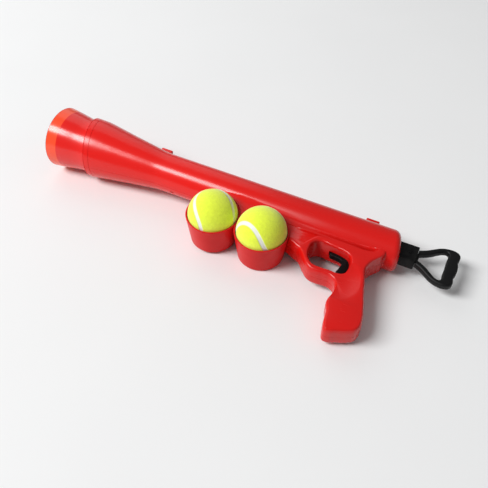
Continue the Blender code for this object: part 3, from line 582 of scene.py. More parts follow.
def shaped(target, operation, *tools):
    """Join, cut or trim a solid with each tool in turn, and delete the tools."""
    for tool in tools:
        step = target.modifiers.new(operation, "BOOLEAN")
        step.operation = operation
        step.solver = "EXACT"
        step.object = tool
        bake(target)
        bpy.data.objects.remove(tool)
    return target


def fuse(target, *tools):
    """Join tools to a solid."""
    return shaped(target, "UNION", *tools)


def cut(target, *tools):
    """Cut tools out of a solid."""
    return shaped(target, "DIFFERENCE", *tools)


def gathered(name, tools):
    """Gather tools that stay clear of each other in one, so that they cut in one step."""
    work = bmesh.new()
    for tool in tools:
        work.from_mesh(tool.data)
        bpy.data.objects.remove(tool)
    return mesh_of(name, work)


def softened(item, width, segments=EDGE_STEPS):
    """Round the sharp edges of a solid."""
    bevel = item.modifiers.new("edges", "BEVEL")
    bevel.width = width
    bevel.segments = segments
    bevel.limit_method = "ANGLE"
    bevel.angle_limit = BEVEL_CREASE
    return bake(item)


def placed(shares, start, length, drop):
    """Turn a table of shares into an outline."""
    return [(start + along * length, down * drop) for along, down in shares]


def plate(name, outlines, half, edge, rounding=EDGE_STEPS):
    """Make a plate with rounded edges; the outlines after the first are holes."""
    curve = bpy.data.curves.new(name, "CURVE")
    curve.dimensions = "2D"
    curve.fill_mode = "BOTH"
    curve.resolution_u = OUTLINE_STEPS
    curve.bevel_depth = edge
    curve.bevel_resolution = rounding - 1
    curve.offset = -edge
    curve.extrude = half - edge
    for outline in outlines:
        spline = curve.splines.new("BEZIER")
        spline.bezier_points.add(len(outline) - 1)
        spline.use_cyclic_u = True
        for knot, place in zip(spline.bezier_points, outline):
            knot.co = (*place, 0.0)
            knot.handle_left_type = "AUTO"
            knot.handle_right_type = "AUTO"
    drawn = raw_object(name, curve)
    bpy.context.view_layer.update()
    graph = bpy.context.evaluated_depsgraph_get()
    mesh = bpy.data.meshes.new_from_object(drawn.evaluated_get(graph))
    bpy.data.objects.remove(drawn)
    work = bmesh.new()
    work.from_mesh(mesh)
    bmesh.ops.remove_doubles(work, verts=work.verts, dist=edge / 200)
    return mesh_of(name, work)


def shade(mesh):
    """Shade a mesh smoothly, with its real corners kept crisp."""
    mesh.shade_smooth()
    mesh.set_sharp_from_angle(angle=CREASE)


def finished(item, name, body, slot, finish, *nodes):
    """Turn a working solid into a visible piece that rides a body and stands for its nodes."""
    item.name = name
    item.data.name = name
    item.data.materials.clear()
    item.data.materials.append(bpy.data.materials[finish])
    item.data.transform(launcher_frame())
    shade(item.data)
    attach(item, body)
    if nodes:
        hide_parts(*nodes)
    return item


# Body


def sleeve_radius(size, station):
    """Outer radius of the flared sleeve."""
    share = smooth_read(SLEEVE_SHARES, station / size.sleeve_length)
    return size.sleeve_rear_radius + share * (size.mouth_radius - size.sleeve_rear_radius)


def horn_end(size):
    """Station where the horn meets the barrel."""
    return size.collar_station + size.horn_length


def bumper_start(size):
    """Station of the bumper's front end, behind the lip in the bore."""
    return horn_end(size) - size.lip_thickness


def horn_radius(size, station):
    """Outer radius of the horn."""
    share = smooth_read(HORN_SHARES, (station - size.collar_station) / size.horn_length)
    return size.barrel_radius + share * (size.collar_radius - size.barrel_radius)


def barrel_radius(size, station):
    """Outer radius of the drafted barrel."""
    share = between(station, horn_end(size), size.barrel_end)
    return size.barrel_radius + share * (size.barrel_rear_radius - size.barrel_radius)


def web_half(size, station):
    """Half thickness of the web."""
    share = between(station, size.web_taper_start, size.web_taper_end)
    return size.web_front_half + share * (size.web_rear_half - size.web_front_half)


def frame_half(size, drop):
    """Half thickness of the guard and grip."""
    share = between(drop, size.frame_taper_top, size.frame_taper_bottom)
    return size.frame_top_half + share * (size.frame_grip_half - size.frame_top_half)


def behind_rake(size, station):
    """The space behind a raked plane."""
    reach = 2 * size.barrel_end
    made = bar_block("raked", 0.0, reach, reach, reach)
    turn = Matrix.Rotation(size.rake, 4, "Z")
    made.data.transform(Matrix.Translation((station, 0.0, 0.0)) @ turn)
    return made


def outer_radius(size, station):
    """Outer radius of the collar, horn and barrel."""
    if station > horn_end(size):
        return barrel_radius(size, station)
    return horn_radius(size, station)


def rake_share(size, station):
    """How far a ring leans with the rake: fully at the collar and at the rear face."""
    collar_end = size.collar_station + 2 * size.collar_length
    front = between(station, collar_end, collar_end + 4 * size.collar_length)
    rear_start = size.barrel_end - 4 * size.rear_rounding
    rear = between(station, rear_start - 6 * size.rear_rounding, rear_start)
    lean = max(1 - front, rear)
    return lean * lean * (3 - 2 * lean)


def rounded_rows(end, length, inward):
    """Rows of (station, inset) that round the edge of an end face, from the face inward."""
    rows = []
    for angle in steps(0.0, math.pi / 2, 2 * EDGE_STEPS):
        station = end + inward * length * (1 - math.cos(angle))
        rows.append((station, length * (1 - math.sin(angle))))
    return rows


def raked_rows(size):
    """Rows of (station, inset) for the collar, its grooves, the horn and the barrel."""
    front = size.collar_station + size.gap / 2
    groove = size.collar_station + size.collar_length
    rows = rounded_rows(front, size.collar_rounding, 1)
    for middle in (front + size.collar_rounding + size.groove_width, groove):
        rows += [(middle + along * size.groove_width, down * size.groove_depth)
                 for along, down in GROOVE_SHARES]
        start = middle + size.groove_width
        end = groove - size.groove_width if middle < groove else horn_end(size)
        rows += [(place, 0.0) for place in steps(start, end, HORN_STEPS)]
    rear = size.barrel_end - size.rear_rounding
    rows += [(place, 0.0) for place in steps(horn_end(size), rear - size.gap, BARREL_STEPS)[1:]]
    return rows + rounded_rows(size.barrel_end, size.rear_rounding, -1)[::-1]


def raked_body(size):
    """Collar, horn and barrel as one solid whose two ends lean with the rake."""
    slope = math.tan(size.rake)
    rings = []
    for station, inset in raked_rows(size):
        lean = slope * rake_share(size, station)
        ring = []
        for angle in ring_angles(TURNED_SEGMENTS):
            moved = station
            for attempt in range(RAKE_PASSES):
                radius = outer_radius(size, moved) - inset
                moved = station - lean * radius * math.cos(angle)
            ring.append((moved, radius * math.cos(angle), radius * math.sin(angle)))
        rings.append(ring)
    ends = ((size.collar_station + size.gap / 2, 0.0, 0.0), (size.barrel_end, 0.0, 0.0))
    return skinned("body", [[ends[0]], *rings, [ends[1]]])


def bore_profile(size):
    """The hollow from the mouth to the inside of the rear wall."""
    offset = size.sleeve_wall + size.gap + size.liner_wall
    lip_end = bumper_start(size)
    lip_start = lip_end - size.lip_thickness
    profile = [(-OVERRUN, 0.0), (-OVERRUN, size.mouth_radius - offset)]
    profile += [(place, sleeve_radius(size, place) - offset)
                for place in steps(0.0, size.sleeve_length, THROAT_STEPS)]
    start = size.sleeve_length + size.throat_blend
    profile += [(place, horn_radius(size, place) - size.wall)
                for place in steps(start, lip_start, BORE_STEPS)]
    rear = size.barrel_end + size.barrel_radius
    profile += [(lip_start, size.lip_radius), (lip_end, size.lip_radius),
                (lip_end, size.bore_radius), (rear, size.bore_radius), (rear, 0.0)]
    return profile


def liner_profile(size):
    """The thin liner that carries the sleeve."""
    offset = size.sleeve_wall + size.gap
    profile = [(size.band_length, 0.0)]
    profile += [(place, sleeve_radius(size, place) - offset)
                for place in steps(size.band_length, size.sleeve_length, LINER_STEPS)]
    end = size.collar_station + size.throat_blend
    return profile + [(end, size.sleeve_rear_radius - offset), (end, 0.0)]


def web_plate(size):
    """The flat-sided web under the barrel."""
    outline = placed(WEB_SHARES, size.web_front, size.web_length, size.web_drop)
    made = plate("web", [outline], size.web_rear_half, size.web_edge)
    for vertex in made.data.vertices:
        vertex.co.z *= web_half(size, vertex.co.x) / size.web_rear_half
    return made


def valley_curve(radius, half, share, size):
    """Section of the filling as (up, outward), from the barrel's skin to the web's face."""
    corner = math.asin(half / radius)
    turn = corner + share * (size.flank_turn - corner)
    meet = radius * math.cos(corner)
    drop = meet + share * (size.flank_drop - meet)
    leave = radius - size.gap
    start = Vector((-leave * math.cos(turn), leave * math.sin(turn)))
    away = Vector((-math.sin(turn), -math.cos(turn)))
    end = Vector((-drop, half))
    reach = (end - start).length / 3
    knots = (start, start + away * reach, end + Vector((reach, 0.0)), end)
    curve = []
    for part in steps(0.0, 1.0, VALLEY_STEPS):
        rest = 1 - part
        weights = (rest ** 3, 3 * rest ** 2 * part, 3 * rest * part ** 2, part ** 3)
        shares = (knot * weight for knot, weight in zip(knots, weights))
        curve.append(sum(shares, Vector((0.0, 0.0))))
    inward = Vector((0.0, size.wall))
    return curve + [curve[-1] - inward, curve[0] - inward]


def flank(size, side):
    """Fill the valley between the barrel and the web on one side with a smooth hollow curve."""
    rings = []
    for station in steps(size.flank_front, size.flank_rear, FLANK_STEPS):
        fade = min(station - size.flank_front, size.flank_rear - station) / size.flank_fade
        share = FLANK_END_SHARE + (1 - FLANK_END_SHARE) * between(fade, 0.0, 1.0)
        curve = valley_curve(barrel_radius(size, station), web_half(size, station), share, size)
        rings.append([(station, place.x, side * place.y) for place in curve])
    middles = []
    for ring in (rings[0], rings[-1]):
        middles.append([tuple(sum(values) / len(ring) for values in zip(*ring))])
    return skinned("flank", [middles[0], *rings, middles[1]])


def frame_plate(size):
    """The guard and grip with the opening for the finger, rounded like a bar."""
    outline = placed(FRAME_SHARES, size.frame_front, size.frame_length, size.frame_drop)
    opening = placed(OPENING_SHARES, size.frame_front, size.frame_length, size.frame_drop)
    half, edge = size.frame_grip_half, size.frame_edge
    made = plate("frame", [outline, opening], half, edge, 2 * EDGE_STEPS)
    for vertex in made.data.vertices:
        share = between(-vertex.co.y, size.frame_step_drop, size.frame_edge_drop)
        tall = size.frame_step + share * (size.frame_edge_height - size.frame_step)
        height = abs(vertex.co.z)
        flat = half - edge
        if height > flat:
            height = half - (half - height) * tall / edge
        else:
            height *= (half - tall) / flat
        height *= frame_half(size, -vertex.co.y) / half
        vertex.co.z = math.copysign(height, vertex.co.z)
    return made


def top_lug(size, station):
    """A lug on the top seam with rounded edges."""
    base = outer_radius(size, station)
    low = (station - size.lug_length / 2, base - size.wall, -size.lug_half_width)
    high = (station + size.lug_length / 2, base + size.lug_rise, size.lug_half_width)
    return softened(block("lug", low, high), size.lug_half_width / 2)


def cup_rim(cups, balls):
    """Height of the cups' rims above the barrel's axis."""
    return balls.height + cups.rim_above_ball


def cup_foot(cups, balls, grow=0.0):
    """Outer profile of a ball cup's rounded foot, from its axis outward."""
    foot = cup_rim(cups, balls) - cups.depth
    profile = [(foot - grow, 0.0)]
    for angle in steps(0.0, math.pi / 2, EDGE_STEPS):
        along = foot + cups.foot_fillet * (1 - math.cos(angle))
        radius = cups.foot_radius - cups.foot_fillet * (1 - math.sin(angle))
        profile.append((along - grow, radius + grow))
    return profile


def cup_room(size, cups, balls, station):
    """The room in the body for a cup, open above its rim."""
    rim, radius = cup_rim(cups, balls), cups.rim_radius + size.gap
    top = rim + size.web_front_half
    profile = cup_foot(cups, balls, size.gap) + [(rim, radius), (top, radius), (top, 0.0)]
    return turned("cup room", profile, "Z", centre=(station, -cups.drop, 0.0))


def screw_places(size, cups, screws):
    """Centre of each body screw and the half thickness of the body there."""
    front, rear = ball_stations(cups)
    in_web = (((front + rear) / 2, -size.barrel_radius - screws.front_drop),
              (rear + cups.rim_radius + screws.boss_radius, -size.barrel_radius - screws.rear_drop))
    in_frame = placed(FRAME_SCREW_SHARES, size.frame_front, size.frame_length, size.frame_drop)
    found = [(x, y, web_half(size, x)) for x, y in in_web]
    return found + [(x, y, frame_half(size, -y)) for x, y in in_frame]


def ball_stations(cups):
    """Stations of the two balls."""
    return cups.front_station, cups.front_station + cups.spacing


def screw_pocket(size, screws, x, y, side):
    """The pocket round a screw's head."""
    low, high = -side - OVERRUN, -side + screws.recess
    radius = screws.head_radius + 2 * size.gap
    return disc("pocket", low, high, radius, "Z", (x, y, 0.0))


def snap_notch(size, station, turn):
    """A small notch in the body's skin, turned round the barrel's axis from straight down."""
    base = outer_radius(size, station)
    low = (station - size.notch_length / 2, -base - OVERRUN, -size.notch_width / 2)
    high = (station + size.notch_length / 2, -base + size.wall, size.notch_width / 2)
    notch = block("notch", low, high)
    notch.data.transform(Matrix.Rotation(turn, 4, "X"))
    return notch


def thumb_scoop(size, side):
    """The round hollow in one side of the grip, which runs out upward."""
    foot, brim = size.scoop_radius - size.scoop_edge, size.scoop_radius + size.scoop_edge
    outside = side * size.frame_top_half
    profile = ((0.0, 0.0), (0.0, foot), (2 * side * size.scoop_depth, brim), (outside, brim),
               (outside, 0.0))
    scoop = turned("scoop", profile, "Z", SCOOP_SEGMENTS)
    rise = size.scoop_radius * math.tan(size.scoop_lean)
    height = size.frame_grip_half - size.scoop_depth + rise
    lean = Matrix.Rotation(side * size.scoop_lean, 4, (1.0, 1.0, 0.0))
    middle = Vector((size.scoop_station, -size.scoop_drop, side * height))
    scoop.data.transform(Matrix.Translation(middle) @ lean)
    return scoop


def body_tools(settings):
    """Everything that is cut out of the body and stays clear of the rest."""
    size, screws = settings.housing, settings.screws
    places = screw_places(size, settings.cups, screws)
    tools = [screw_pocket(size, screws, *place) for place in places]
    tools.append(snap_notch(size, size.front_notch, size.front_notch_turn))
    tools.append(snap_notch(size, size.rear_notch, size.rear_notch_turn))
    return tools + [thumb_scoop(size, side) for side in (-1, 1)]


def mechanism_rooms(settings):
    """The trigger's slot, the mechanism's room and the opening for the pull bar."""
    size, pull, trigger = settings.housing, settings.pull, settings.trigger
    half = trigger.half_thickness + size.gap
    slot = block("trigger slot", (trigger.slot_front, -trigger.slot_bottom, -half),
                 (trigger.slot_rear, -trigger.pivot_drop, half))
    room = block("room", (trigger.slot_front + size.wall, -trigger.pivot_drop - size.wall, -half),
                 (trigger.room_rear, -size.bore_radius / 2, half))
    high = pull.bar_height / 2 + pull.slide_clearance
    wide = pull.bar_width / 2 + pull.slide_clearance
    rear = size.barrel_end + size.barrel_radius
    return slot, room, bar_block("bar opening", trigger.room_rear, rear, high, wide)


def housing_solid(settings):
    """Both halves of the body in one solid, still without the seam between them."""
    size, cups = settings.housing, settings.cups
    body = raked_body(size)
    fuse(body, turned("liner", liner_profile(size)), web_plate(size), frame_plate(size))
    fuse(body, flank(size, 1), flank(size, -1))
    fuse(body, gathered("lugs", [top_lug(size, size.front_lug), top_lug(size, size.rear_lug)]))
    bore = turned("bore", bore_profile(size))
    cut(bore, behind_rake(size, size.barrel_end - size.rear_rounding))
    cut(body, bore)
    for station in ball_stations(cups):
        cut(body, cup_room(size, cups, settings.balls, station))
    cut(body, *mechanism_rooms(settings))
    return cut(body, *body_tools(settings))


def half_of(body, name, side):
    """Keep the half of the body that lies to one side of the seam."""
    work = bmesh.new()
    work.from_mesh(body.data)
    gone = [vertex for vertex in work.verts if vertex.co.z * side < 0]
    bmesh.ops.delete(work, geom=gone, context="VERTS")
    mesh = bpy.data.meshes.new(name)
    work.to_mesh(mesh)
    work.free()
    return raw_object(name, mesh)


def build_housing(settings):
    """The two halves of the red body with the seam line between them."""
    size = settings.housing
    body = housing_solid(settings)
    reach = 2 * size.barrel_end
    cut(body, bar_block("seam", -reach, reach, reach, size.seam_width / 2))
    for name, side, node in (("left_body", 1, "left_shell"), ("right_body", -1, "right_shell")):
        finished(half_of(body, name, side), name, "housing", "red_plastic", "red plastic", node)
    bpy.data.objects.remove(body)


def build_sleeve(settings):
    """The flared sleeve at the mouth, with its unlined band."""
    size = settings.housing
    end = size.collar_station + size.throat_blend
    rim = size.sleeve_wall / 3
    outer = steps(0.0, size.sleeve_length, SLEEVE_STEPS)
    profile = [(0.0, size.mouth_radius - rim), (rim / 3, size.mouth_radius - rim / 3),
               (rim, sleeve_radius(size, 0.0))]
    profile += [(place, sleeve_radius(size, place)) for place in outer[1:]]
    profile += [(end, size.sleeve_rear_radius), (end, size.sleeve_rear_radius - size.sleeve_wall)]
    profile += [(place, sleeve_radius(size, place) - size.sleeve_wall) for place in reversed(outer)]
    sleeve = turned("sleeve", profile)
    cut(sleeve, behind_rake(size, size.collar_station - size.gap / 2))
    stations = sleeve.data.attributes.new("station", "FLOAT", "POINT")
    stations.data.foreach_set("value", [vertex.co.x for vertex in sleeve.data.vertices])
    finished(sleeve, "mouth_sleeve", "housing", "clear_red_plastic", "clear red plastic",
             "muzzle_sleeve")


def build_cups(settings):
    """The two tapered cups, trimmed by the barrel and by the plane between them."""
    size, cups, balls = settings.housing, settings.cups, settings.balls
    rim = cup_rim(cups, balls)
    inner_rim = cups.rim_radius - cups.wall
    floor = rim - cups.depth + cups.floor
    inner_foot = cups.foot_radius - cups.wall
    middle = cups.front_station + cups.spacing / 2
    reach = cups.rim_radius + cups.drop
    edge = cups.wall / 4
    profile = cup_foot(cups, balls)
    profile += [(rim - edge, cups.rim_radius - edge / 10), (rim, cups.rim_radius - edge),
                (rim, inner_rim + edge), (rim - edge, inner_rim),
                (floor + cups.foot_fillet, inner_foot),
                (floor, inner_foot - cups.foot_fillet / 2), (floor, 0.0)]
    for end, station, side in zip(("front", "rear"), ball_stations(cups), (1, -1)):
        cup = turned(f"{end}_cup", profile, "Z", centre=(station, -cups.drop, 0.0))
        ends = sorted((middle - side * size.gap / 2, middle + side * reach))
        beyond = block("beyond", (ends[0], -reach - cups.drop, -reach), (ends[1], reach, reach))
        barrel = disc("barrel room", size.web_front - reach, size.web_front + size.web_length,
                      size.barrel_radius + size.gap, "X", segments=TURNED_SEGMENTS)
        cut(cup, barrel, beyond)
        finished(cup, f"{end}_cup", "housing", "crimson_plastic", "crimson plastic",
                 f"{end}_ball_cup")


# Balls


def seam_points():
    """Points of the closed seam of a ball of radius 1."""
    angles = np.linspace(0.0, math.tau, SEAM_POINTS, endpoint=False)
    across = SEAM_WIDE * np.cos(angles) + SEAM_NARROW * np.cos(3 * angles)
    along = SEAM_WIDE * np.sin(angles) - SEAM_NARROW * np.sin(3 * angles)
    up = 2 * math.sqrt(SEAM_WIDE * SEAM_NARROW) * np.sin(2 * angles)
    return np.stack((across, along, up), axis=1)


def seam_distance(places, balls):
    """Distance of each place on a ball of radius 1 from the seam, on the real ball's skin."""
    curve = seam_points()
    nearest = np.full(len(places), -1.0)
    for start in range(0, SEAM_POINTS, SEAM_BATCH):
        batch = curve[start:start + SEAM_BATCH]
        nearest = np.maximum(nearest, (places @ batch.T).max(axis=1))
    return np.arccos(np.clip(nearest, -1.0, 1.0)) * balls.radius


def unit_ball(name):
    """A fine mesh of a ball of radius 1, and its places."""
    work = bmesh.new()
    bmesh.ops.create_icosphere(work, subdivisions=BALL_SUBDIVISIONS, radius=1.0)
    mesh = bpy.data.meshes.new(name)
    work.to_mesh(mesh)
    work.free()
    places = np.empty(len(mesh.vertices) * 3)
    mesh.vertices.foreach_get("co", places)
    places = places.reshape(-1, 3)
    return mesh, places / np.linalg.norm(places, axis=1)[:, None]


def build_balls(settings):
    """The two tennis balls: felt with a sunken seam."""
    cups, balls = settings.cups, settings.balls
    width = balls.seam_half_width
    turns = (balls.front_turn, balls.rear_turn)
    for name, station, turn in zip(("front_ball", "rear_ball"), ball_stations(cups), turns):
        mesh, places = unit_ball(name)
        away = seam_distance(places, balls)
        inside = np.clip((width - away) / (width / 3) + 0.5, 0.0, 1.0)
        lip = np.exp(-((away - 1.5 * width) / width) ** 2)
        rough = np.array([noise.noise(Vector(place) * FELT_SCALE) for place in places])
        radius = balls.radius - balls.nap - balls.seam_depth * inside
        raised = NAP_SHARE * rough * (1 - inside) + LIP_SHARE * lip * (1 - inside)
        radius = radius + balls.nap * raised
        centre = np.array((station, -cups.drop, balls.height))
        spun = places @ np.array(Euler(turn).to_matrix()).T
        mesh.vertices.foreach_set("co", (centre + spun * radius[:, None]).ravel())
        seam = mesh.attributes.new("seam", "FLOAT", "POINT")
        seam.data.foreach_set("value", inside)
        finished(raw_object(name, mesh), f"{name}_felt", f"{name}_body", "tennis_felt",
                 "tennis felt", name)


# Pull group


def loop_pin_centre(pull):
    """Place of the pin through the bar and the loop's tongue."""
    return (pull.bar_end - pull.pin_inset, 0.0, 0.0)


def build_pull_bar(settings):
    """The black bar from the piston to the loop."""
    size, pull = settings.housing, settings.pull
    piston = bumper_start(size) + pull.bumper_length + size.gap
    start = piston + pull.piston_length / 2 + size.gap
    bar = bar_block("bar", start, pull.bar_end, pull.bar_height / 2, pull.bar_width / 2)
    softened(bar, pull.bar_bevel, EDGE_STEPS - 1)
    tools = []
    for number in range(pull.windows):
        middle = pull.window_start + number * pull.window_pitch
        front, rear = middle - pull.window_length / 2, middle + pull.window_length / 2
        tools.append(bar_block("window", front, rear, pull.window_height / 2, pull.bar_width))
    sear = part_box("sear")
    tip = (launcher_frame().inverted() @ ((sear[0] + sear[1]) / 2)).x - pull.travel
    low = (tip - pull.notch_length / 2, -pull.bar_height, -pull.bar_width)
    high = (tip + pull.notch_length / 2, pull.notch_depth - pull.bar_height / 2, pull.bar_width)
    tools.append(block("notch", low, high))
    front = pull.bar_end - pull.tongue_length - size.gap
    tools.append(bar_block("tongue room", front, pull.bar_end + OVERRUN,
                           pull.tongue_height / 2 + size.gap, pull.tongue_half + size.gap))
    cut(bar, gathered("rooms", tools))
    cut(bar, pin_room(loop_pin_centre(pull), pull.pin_radius + size.gap, pull.bar_width))
    finished(bar, "bar", "pull_group", "black_plastic", "black plastic", "pull_bar")


def build_pull_loop(settings):
    """The rounded hand loop with its tongue."""
    size, pull = settings.housing, settings.pull
    root = pull.bar_end + size.gap
    outline = list(LOOP_HALF_SHARES)
    outline += [(along, -up) for along, up in reversed(LOOP_HALF_SHARES)]
    front, rear = LOOP_HOLE_END_SHARES
    hole = [(front, 0.0), *LOOP_HOLE_HALF_SHARES, (rear, 0.0)]
    hole += [(along, -up) for along, up in reversed(LOOP_HOLE_HALF_SHARES)]
    outlines = [placed(shares, root, pull.loop_length, pull.loop_half_width)
                for shares in (outline, hole)]
    loop = plate("loop", outlines, pull.loop_half_thickness, pull.loop_edge)
    reach = pull.loop_length
    cut(loop, bar_block("front", root - reach / 2, root, reach, reach))
    fuse(loop, bar_block("tongue", pull.bar_end - pull.tongue_length, root + pull.loop_edge,
                         pull.tongue_height / 2, pull.tongue_half))
    cut(loop, pin_room(loop_pin_centre(pull), pull.pin_radius + size.gap, pull.bar_width))
    finished(loop, "hand_loop", "pull_group", "black_plastic", "grained black plastic", "pull_loop")


def build_loop_pin(settings):
    """The pin that holds the loop in the bar."""
    pull = settings.pull
    half = pull.bar_width / 2
    pin = disc("pin", -half, half, pull.pin_radius, "Z", loop_pin_centre(pull))
    softened(pin, pull.pin_radius / 6, 2)
    finished(pin, "hand_loop_pin", "pull_group", "steel", "black plastic", "loop_pin")


def build_trigger(settings):
    """The black trigger with its pin hole."""
    size, trigger = settings.housing, settings.trigger
    outline = [(trigger.pivot_station + along * trigger.span,
                -trigger.pivot_drop + up * trigger.span) for along, up in TRIGGER_SHARES]
    blade = plate("trigger", [outline], trigger.half_thickness, trigger.edge)
    centre = (trigger.pivot_station, -trigger.pivot_drop, 0.0)
    cut(blade, pin_room(centre, trigger.pin_radius + size.gap, 2 * trigger.half_thickness))
    finished(blade, "trigger_blade", "trigger_body", "black_plastic", "black plastic", "trigger")


def build_screws(settings):
    """The body screws with their cross slots."""
    size, screws = settings.housing, settings.screws
    for number, (x, y, side) in enumerate(screw_places(size, settings.cups, screws), start=1):
        under_head = -side + screws.recess - size.gap
        head_top = under_head - screws.head_height
        crown = screws.head_height / 4
        profile = ((head_top, 0.0), (head_top, screws.head_radius / 2),
                   (head_top + crown / 3, screws.head_radius * 3 / 4),
                   (head_top + crown, screws.head_radius - crown / 2),
                   (head_top + 2 * crown, screws.head_radius),
                   (under_head, screws.head_radius), (under_head, screws.shank_radius),
                   (screws.tip_height, screws.shank_radius), (screws.tip_height, 0.0))
        screw = turned("screw", profile, "Z", SMALL_SEGMENTS, (x, y, 0.0))
        arm, half = screws.head_radius * 2 / 3, screws.slot_width / 2
        depth = head_top + screws.slot_depth
        top = head_top - screws.slot_depth
        cut(screw, block("slot", (x - arm, y - half, top), (x + arm, y + half, depth)),
            block("slot", (x - half, y - arm, top), (x + half, y + arm, depth)))
        finished(screw, f"screw_{number}", "housing", "steel", "steel", f"body_screw_{number}")


# Finishes


def feed(tree, node, feeds):
    """Feed a node's inputs with values or with other nodes' outputs."""
    for label, value in feeds.items():
        if isinstance(value, bpy.types.NodeSocket):
            tree.links.new(value, node.inputs[label])
        else:
            node.inputs[label].default_value = value


def add(tree, kind, feeds=None, **settings):
    """Add a node with its settings and feed its inputs."""
    made = tree.nodes.new(kind)
    for label, value in settings.items():
        setattr(made, label, value)
    feed(tree, made, feeds or {})
    return made


def opaque(channels):
    """A colour with its alpha."""
    return (*channels, 1.0)


def object_place(tree):
    """Places on a surface, in its piece's own coordinates."""
    return add(tree, "ShaderNodeTexCoord").outputs["Object"]


def shared(tree, name, feeds):
    """Add one of the shared node groups."""
    return add(tree, "ShaderNodeGroup", feeds, node_tree=bpy.data.node_groups[name])


def maths(tree, operation, *values):
    """Values added, subtracted or multiplied."""
    return add(tree, "ShaderNodeMath", dict(enumerate(values)), operation=operation).outputs[0]


def mixed(tree, share, first, second):
    """A colour between two colours."""
    return add(tree, "ShaderNodeMix", {0: share, 6: first, 7: second}, data_type="RGBA").outputs[2]


def ranged(tree, value, low, high, to_low=0.0, to_high=1.0):
    """A value moved smoothly from one range to another."""
    feeds = {"Value": value, "From Min": low, "From Max": high, "To Min": to_low, "To Max": to_high}
    return add(tree, "ShaderNodeMapRange", feeds, interpolation_type="SMOOTHSTEP").outputs[0]


def cloud(tree, place, scale, detail=3.0, roughness=0.55):
    """A noise texture's output."""
    feeds = {"Vector": place, "Scale": scale, "Detail": detail, "Roughness": roughness}
    return add(tree, "ShaderNodeTexNoise", feeds).outputs["Fac"]


def new_group(name, inputs, outputs):
    """A shader node group with named inputs and outputs."""
    tree = bpy.data.node_groups.new(name, "ShaderNodeTree")
    for label, kind, value in inputs:
        socket = tree.interface.new_socket(label, in_out="INPUT", socket_type=kind)
        socket.default_value = value
    for label, kind in outputs:
        tree.interface.new_socket(label, in_out="OUTPUT", socket_type=kind)
    return tree, add(tree, "NodeGroupInput"), add(tree, "NodeGroupOutput")


def moulded_group():
    """Moulded plastic: faint flow marks, fine grain and handling marks."""
    tree, start, end = new_group(
        "moulded surface",
        (("Colour", "NodeSocketColor", (0.5, 0.5, 0.5, 1.0)), ("Mottle", "NodeSocketFloat", 0.1),
         ("Roughness", "NodeSocketFloat", 0.3), ("Roughness Change", "NodeSocketFloat", 0.08),
         ("Grain Scale", "NodeSocketFloat", 1500.0), ("Grain", "NodeSocketFloat", 0.2)),
        (("Colour", "NodeSocketColor"), ("Roughness", "NodeSocketFloat"),
         ("Height", "NodeSocketFloat")))
    given = start.outputs
    place = object_place(tree)
    flowing = add(tree, "ShaderNodeMapping", {"Vector": place, "Scale": (0.35, 1.0, 1.0)})
    flow = cloud(tree, flowing.outputs[0], FLOW_SCALE, 4.0)
    grain = cloud(tree, place, given["Grain Scale"], 2.0)
    stretched = add(tree, "ShaderNodeMapping", {"Vector": place, "Scale": (0.04, 1.0, 1.0),
                                                "Rotation": (0.0, 0.0, 0.35)})
    marks = ranged(tree, cloud(tree, stretched.outputs[0], MARK_SCALE, 2.0), 0.66, 0.74)
    shade_share = maths(tree, "MULTIPLY", ranged(tree, flow, 0.3, 0.7), given["Mottle"])
    darker = add(tree, "ShaderNodeHueSaturation", {"Value": 0.72, "Color": given["Colour"]})
    smoother = ranged(tree, flow, 0.35, 0.7, -0.5, 0.5)
    change = maths(tree, "ADD", smoother, maths(tree, "MULTIPLY", marks, 0.8))
    changed = maths(tree, "MULTIPLY", change, given["Roughness Change"])
    grained = maths(tree, "MULTIPLY", grain, given["Grain"])
    scratched = maths(tree, "MULTIPLY", marks, 0.12)
    feed(tree, end, {"Colour": mixed(tree, shade_share, given["Colour"], darker.outputs[0]),
                     "Roughness": maths(tree, "ADD", given["Roughness"], changed),
                     "Height": maths(tree, "SUBTRACT", grained, scratched)})


def wear_group():
    """Edges that handling has rubbed lighter."""
    tree, start, end = new_group(
        "edge wear",
        (("Colour", "NodeSocketColor", (0.5, 0.5, 0.5, 1.0)),
         ("Worn", "NodeSocketColor", (1.0, 1.0, 1.0, 1.0)), ("Amount", "NodeSocketFloat", 0.3)),
        (("Colour", "NodeSocketColor"), ("Mask", "NodeSocketFloat")))
    given = start.outputs
    edges = ranged(tree, add(tree, "ShaderNodeNewGeometry").outputs["Pointiness"], 0.51, 0.60)
    patches = ranged(tree, cloud(tree, object_place(tree), PATCH_SCALE, 4.0), 0.35, 0.7)
    mask = maths(tree, "MULTIPLY", maths(tree, "MULTIPLY", edges, patches), given["Amount"])
    feed(tree, end, {"Colour": mixed(tree, mask, given["Colour"], given["Worn"]), "Mask": mask})


def new_finish(name):
    """An empty material with its Principled shader."""
    made = bpy.data.materials.new(name)
    made.use_nodes = True
    return made.node_tree, made.node_tree.nodes["Principled BSDF"]


def bumps(tree, height, strength, depth):
    """A normal that follows a height."""
    feeds = {"Height": height, "Strength": strength, "Distance": depth}
    return add(tree, "ShaderNodeBump", feeds).outputs[0]


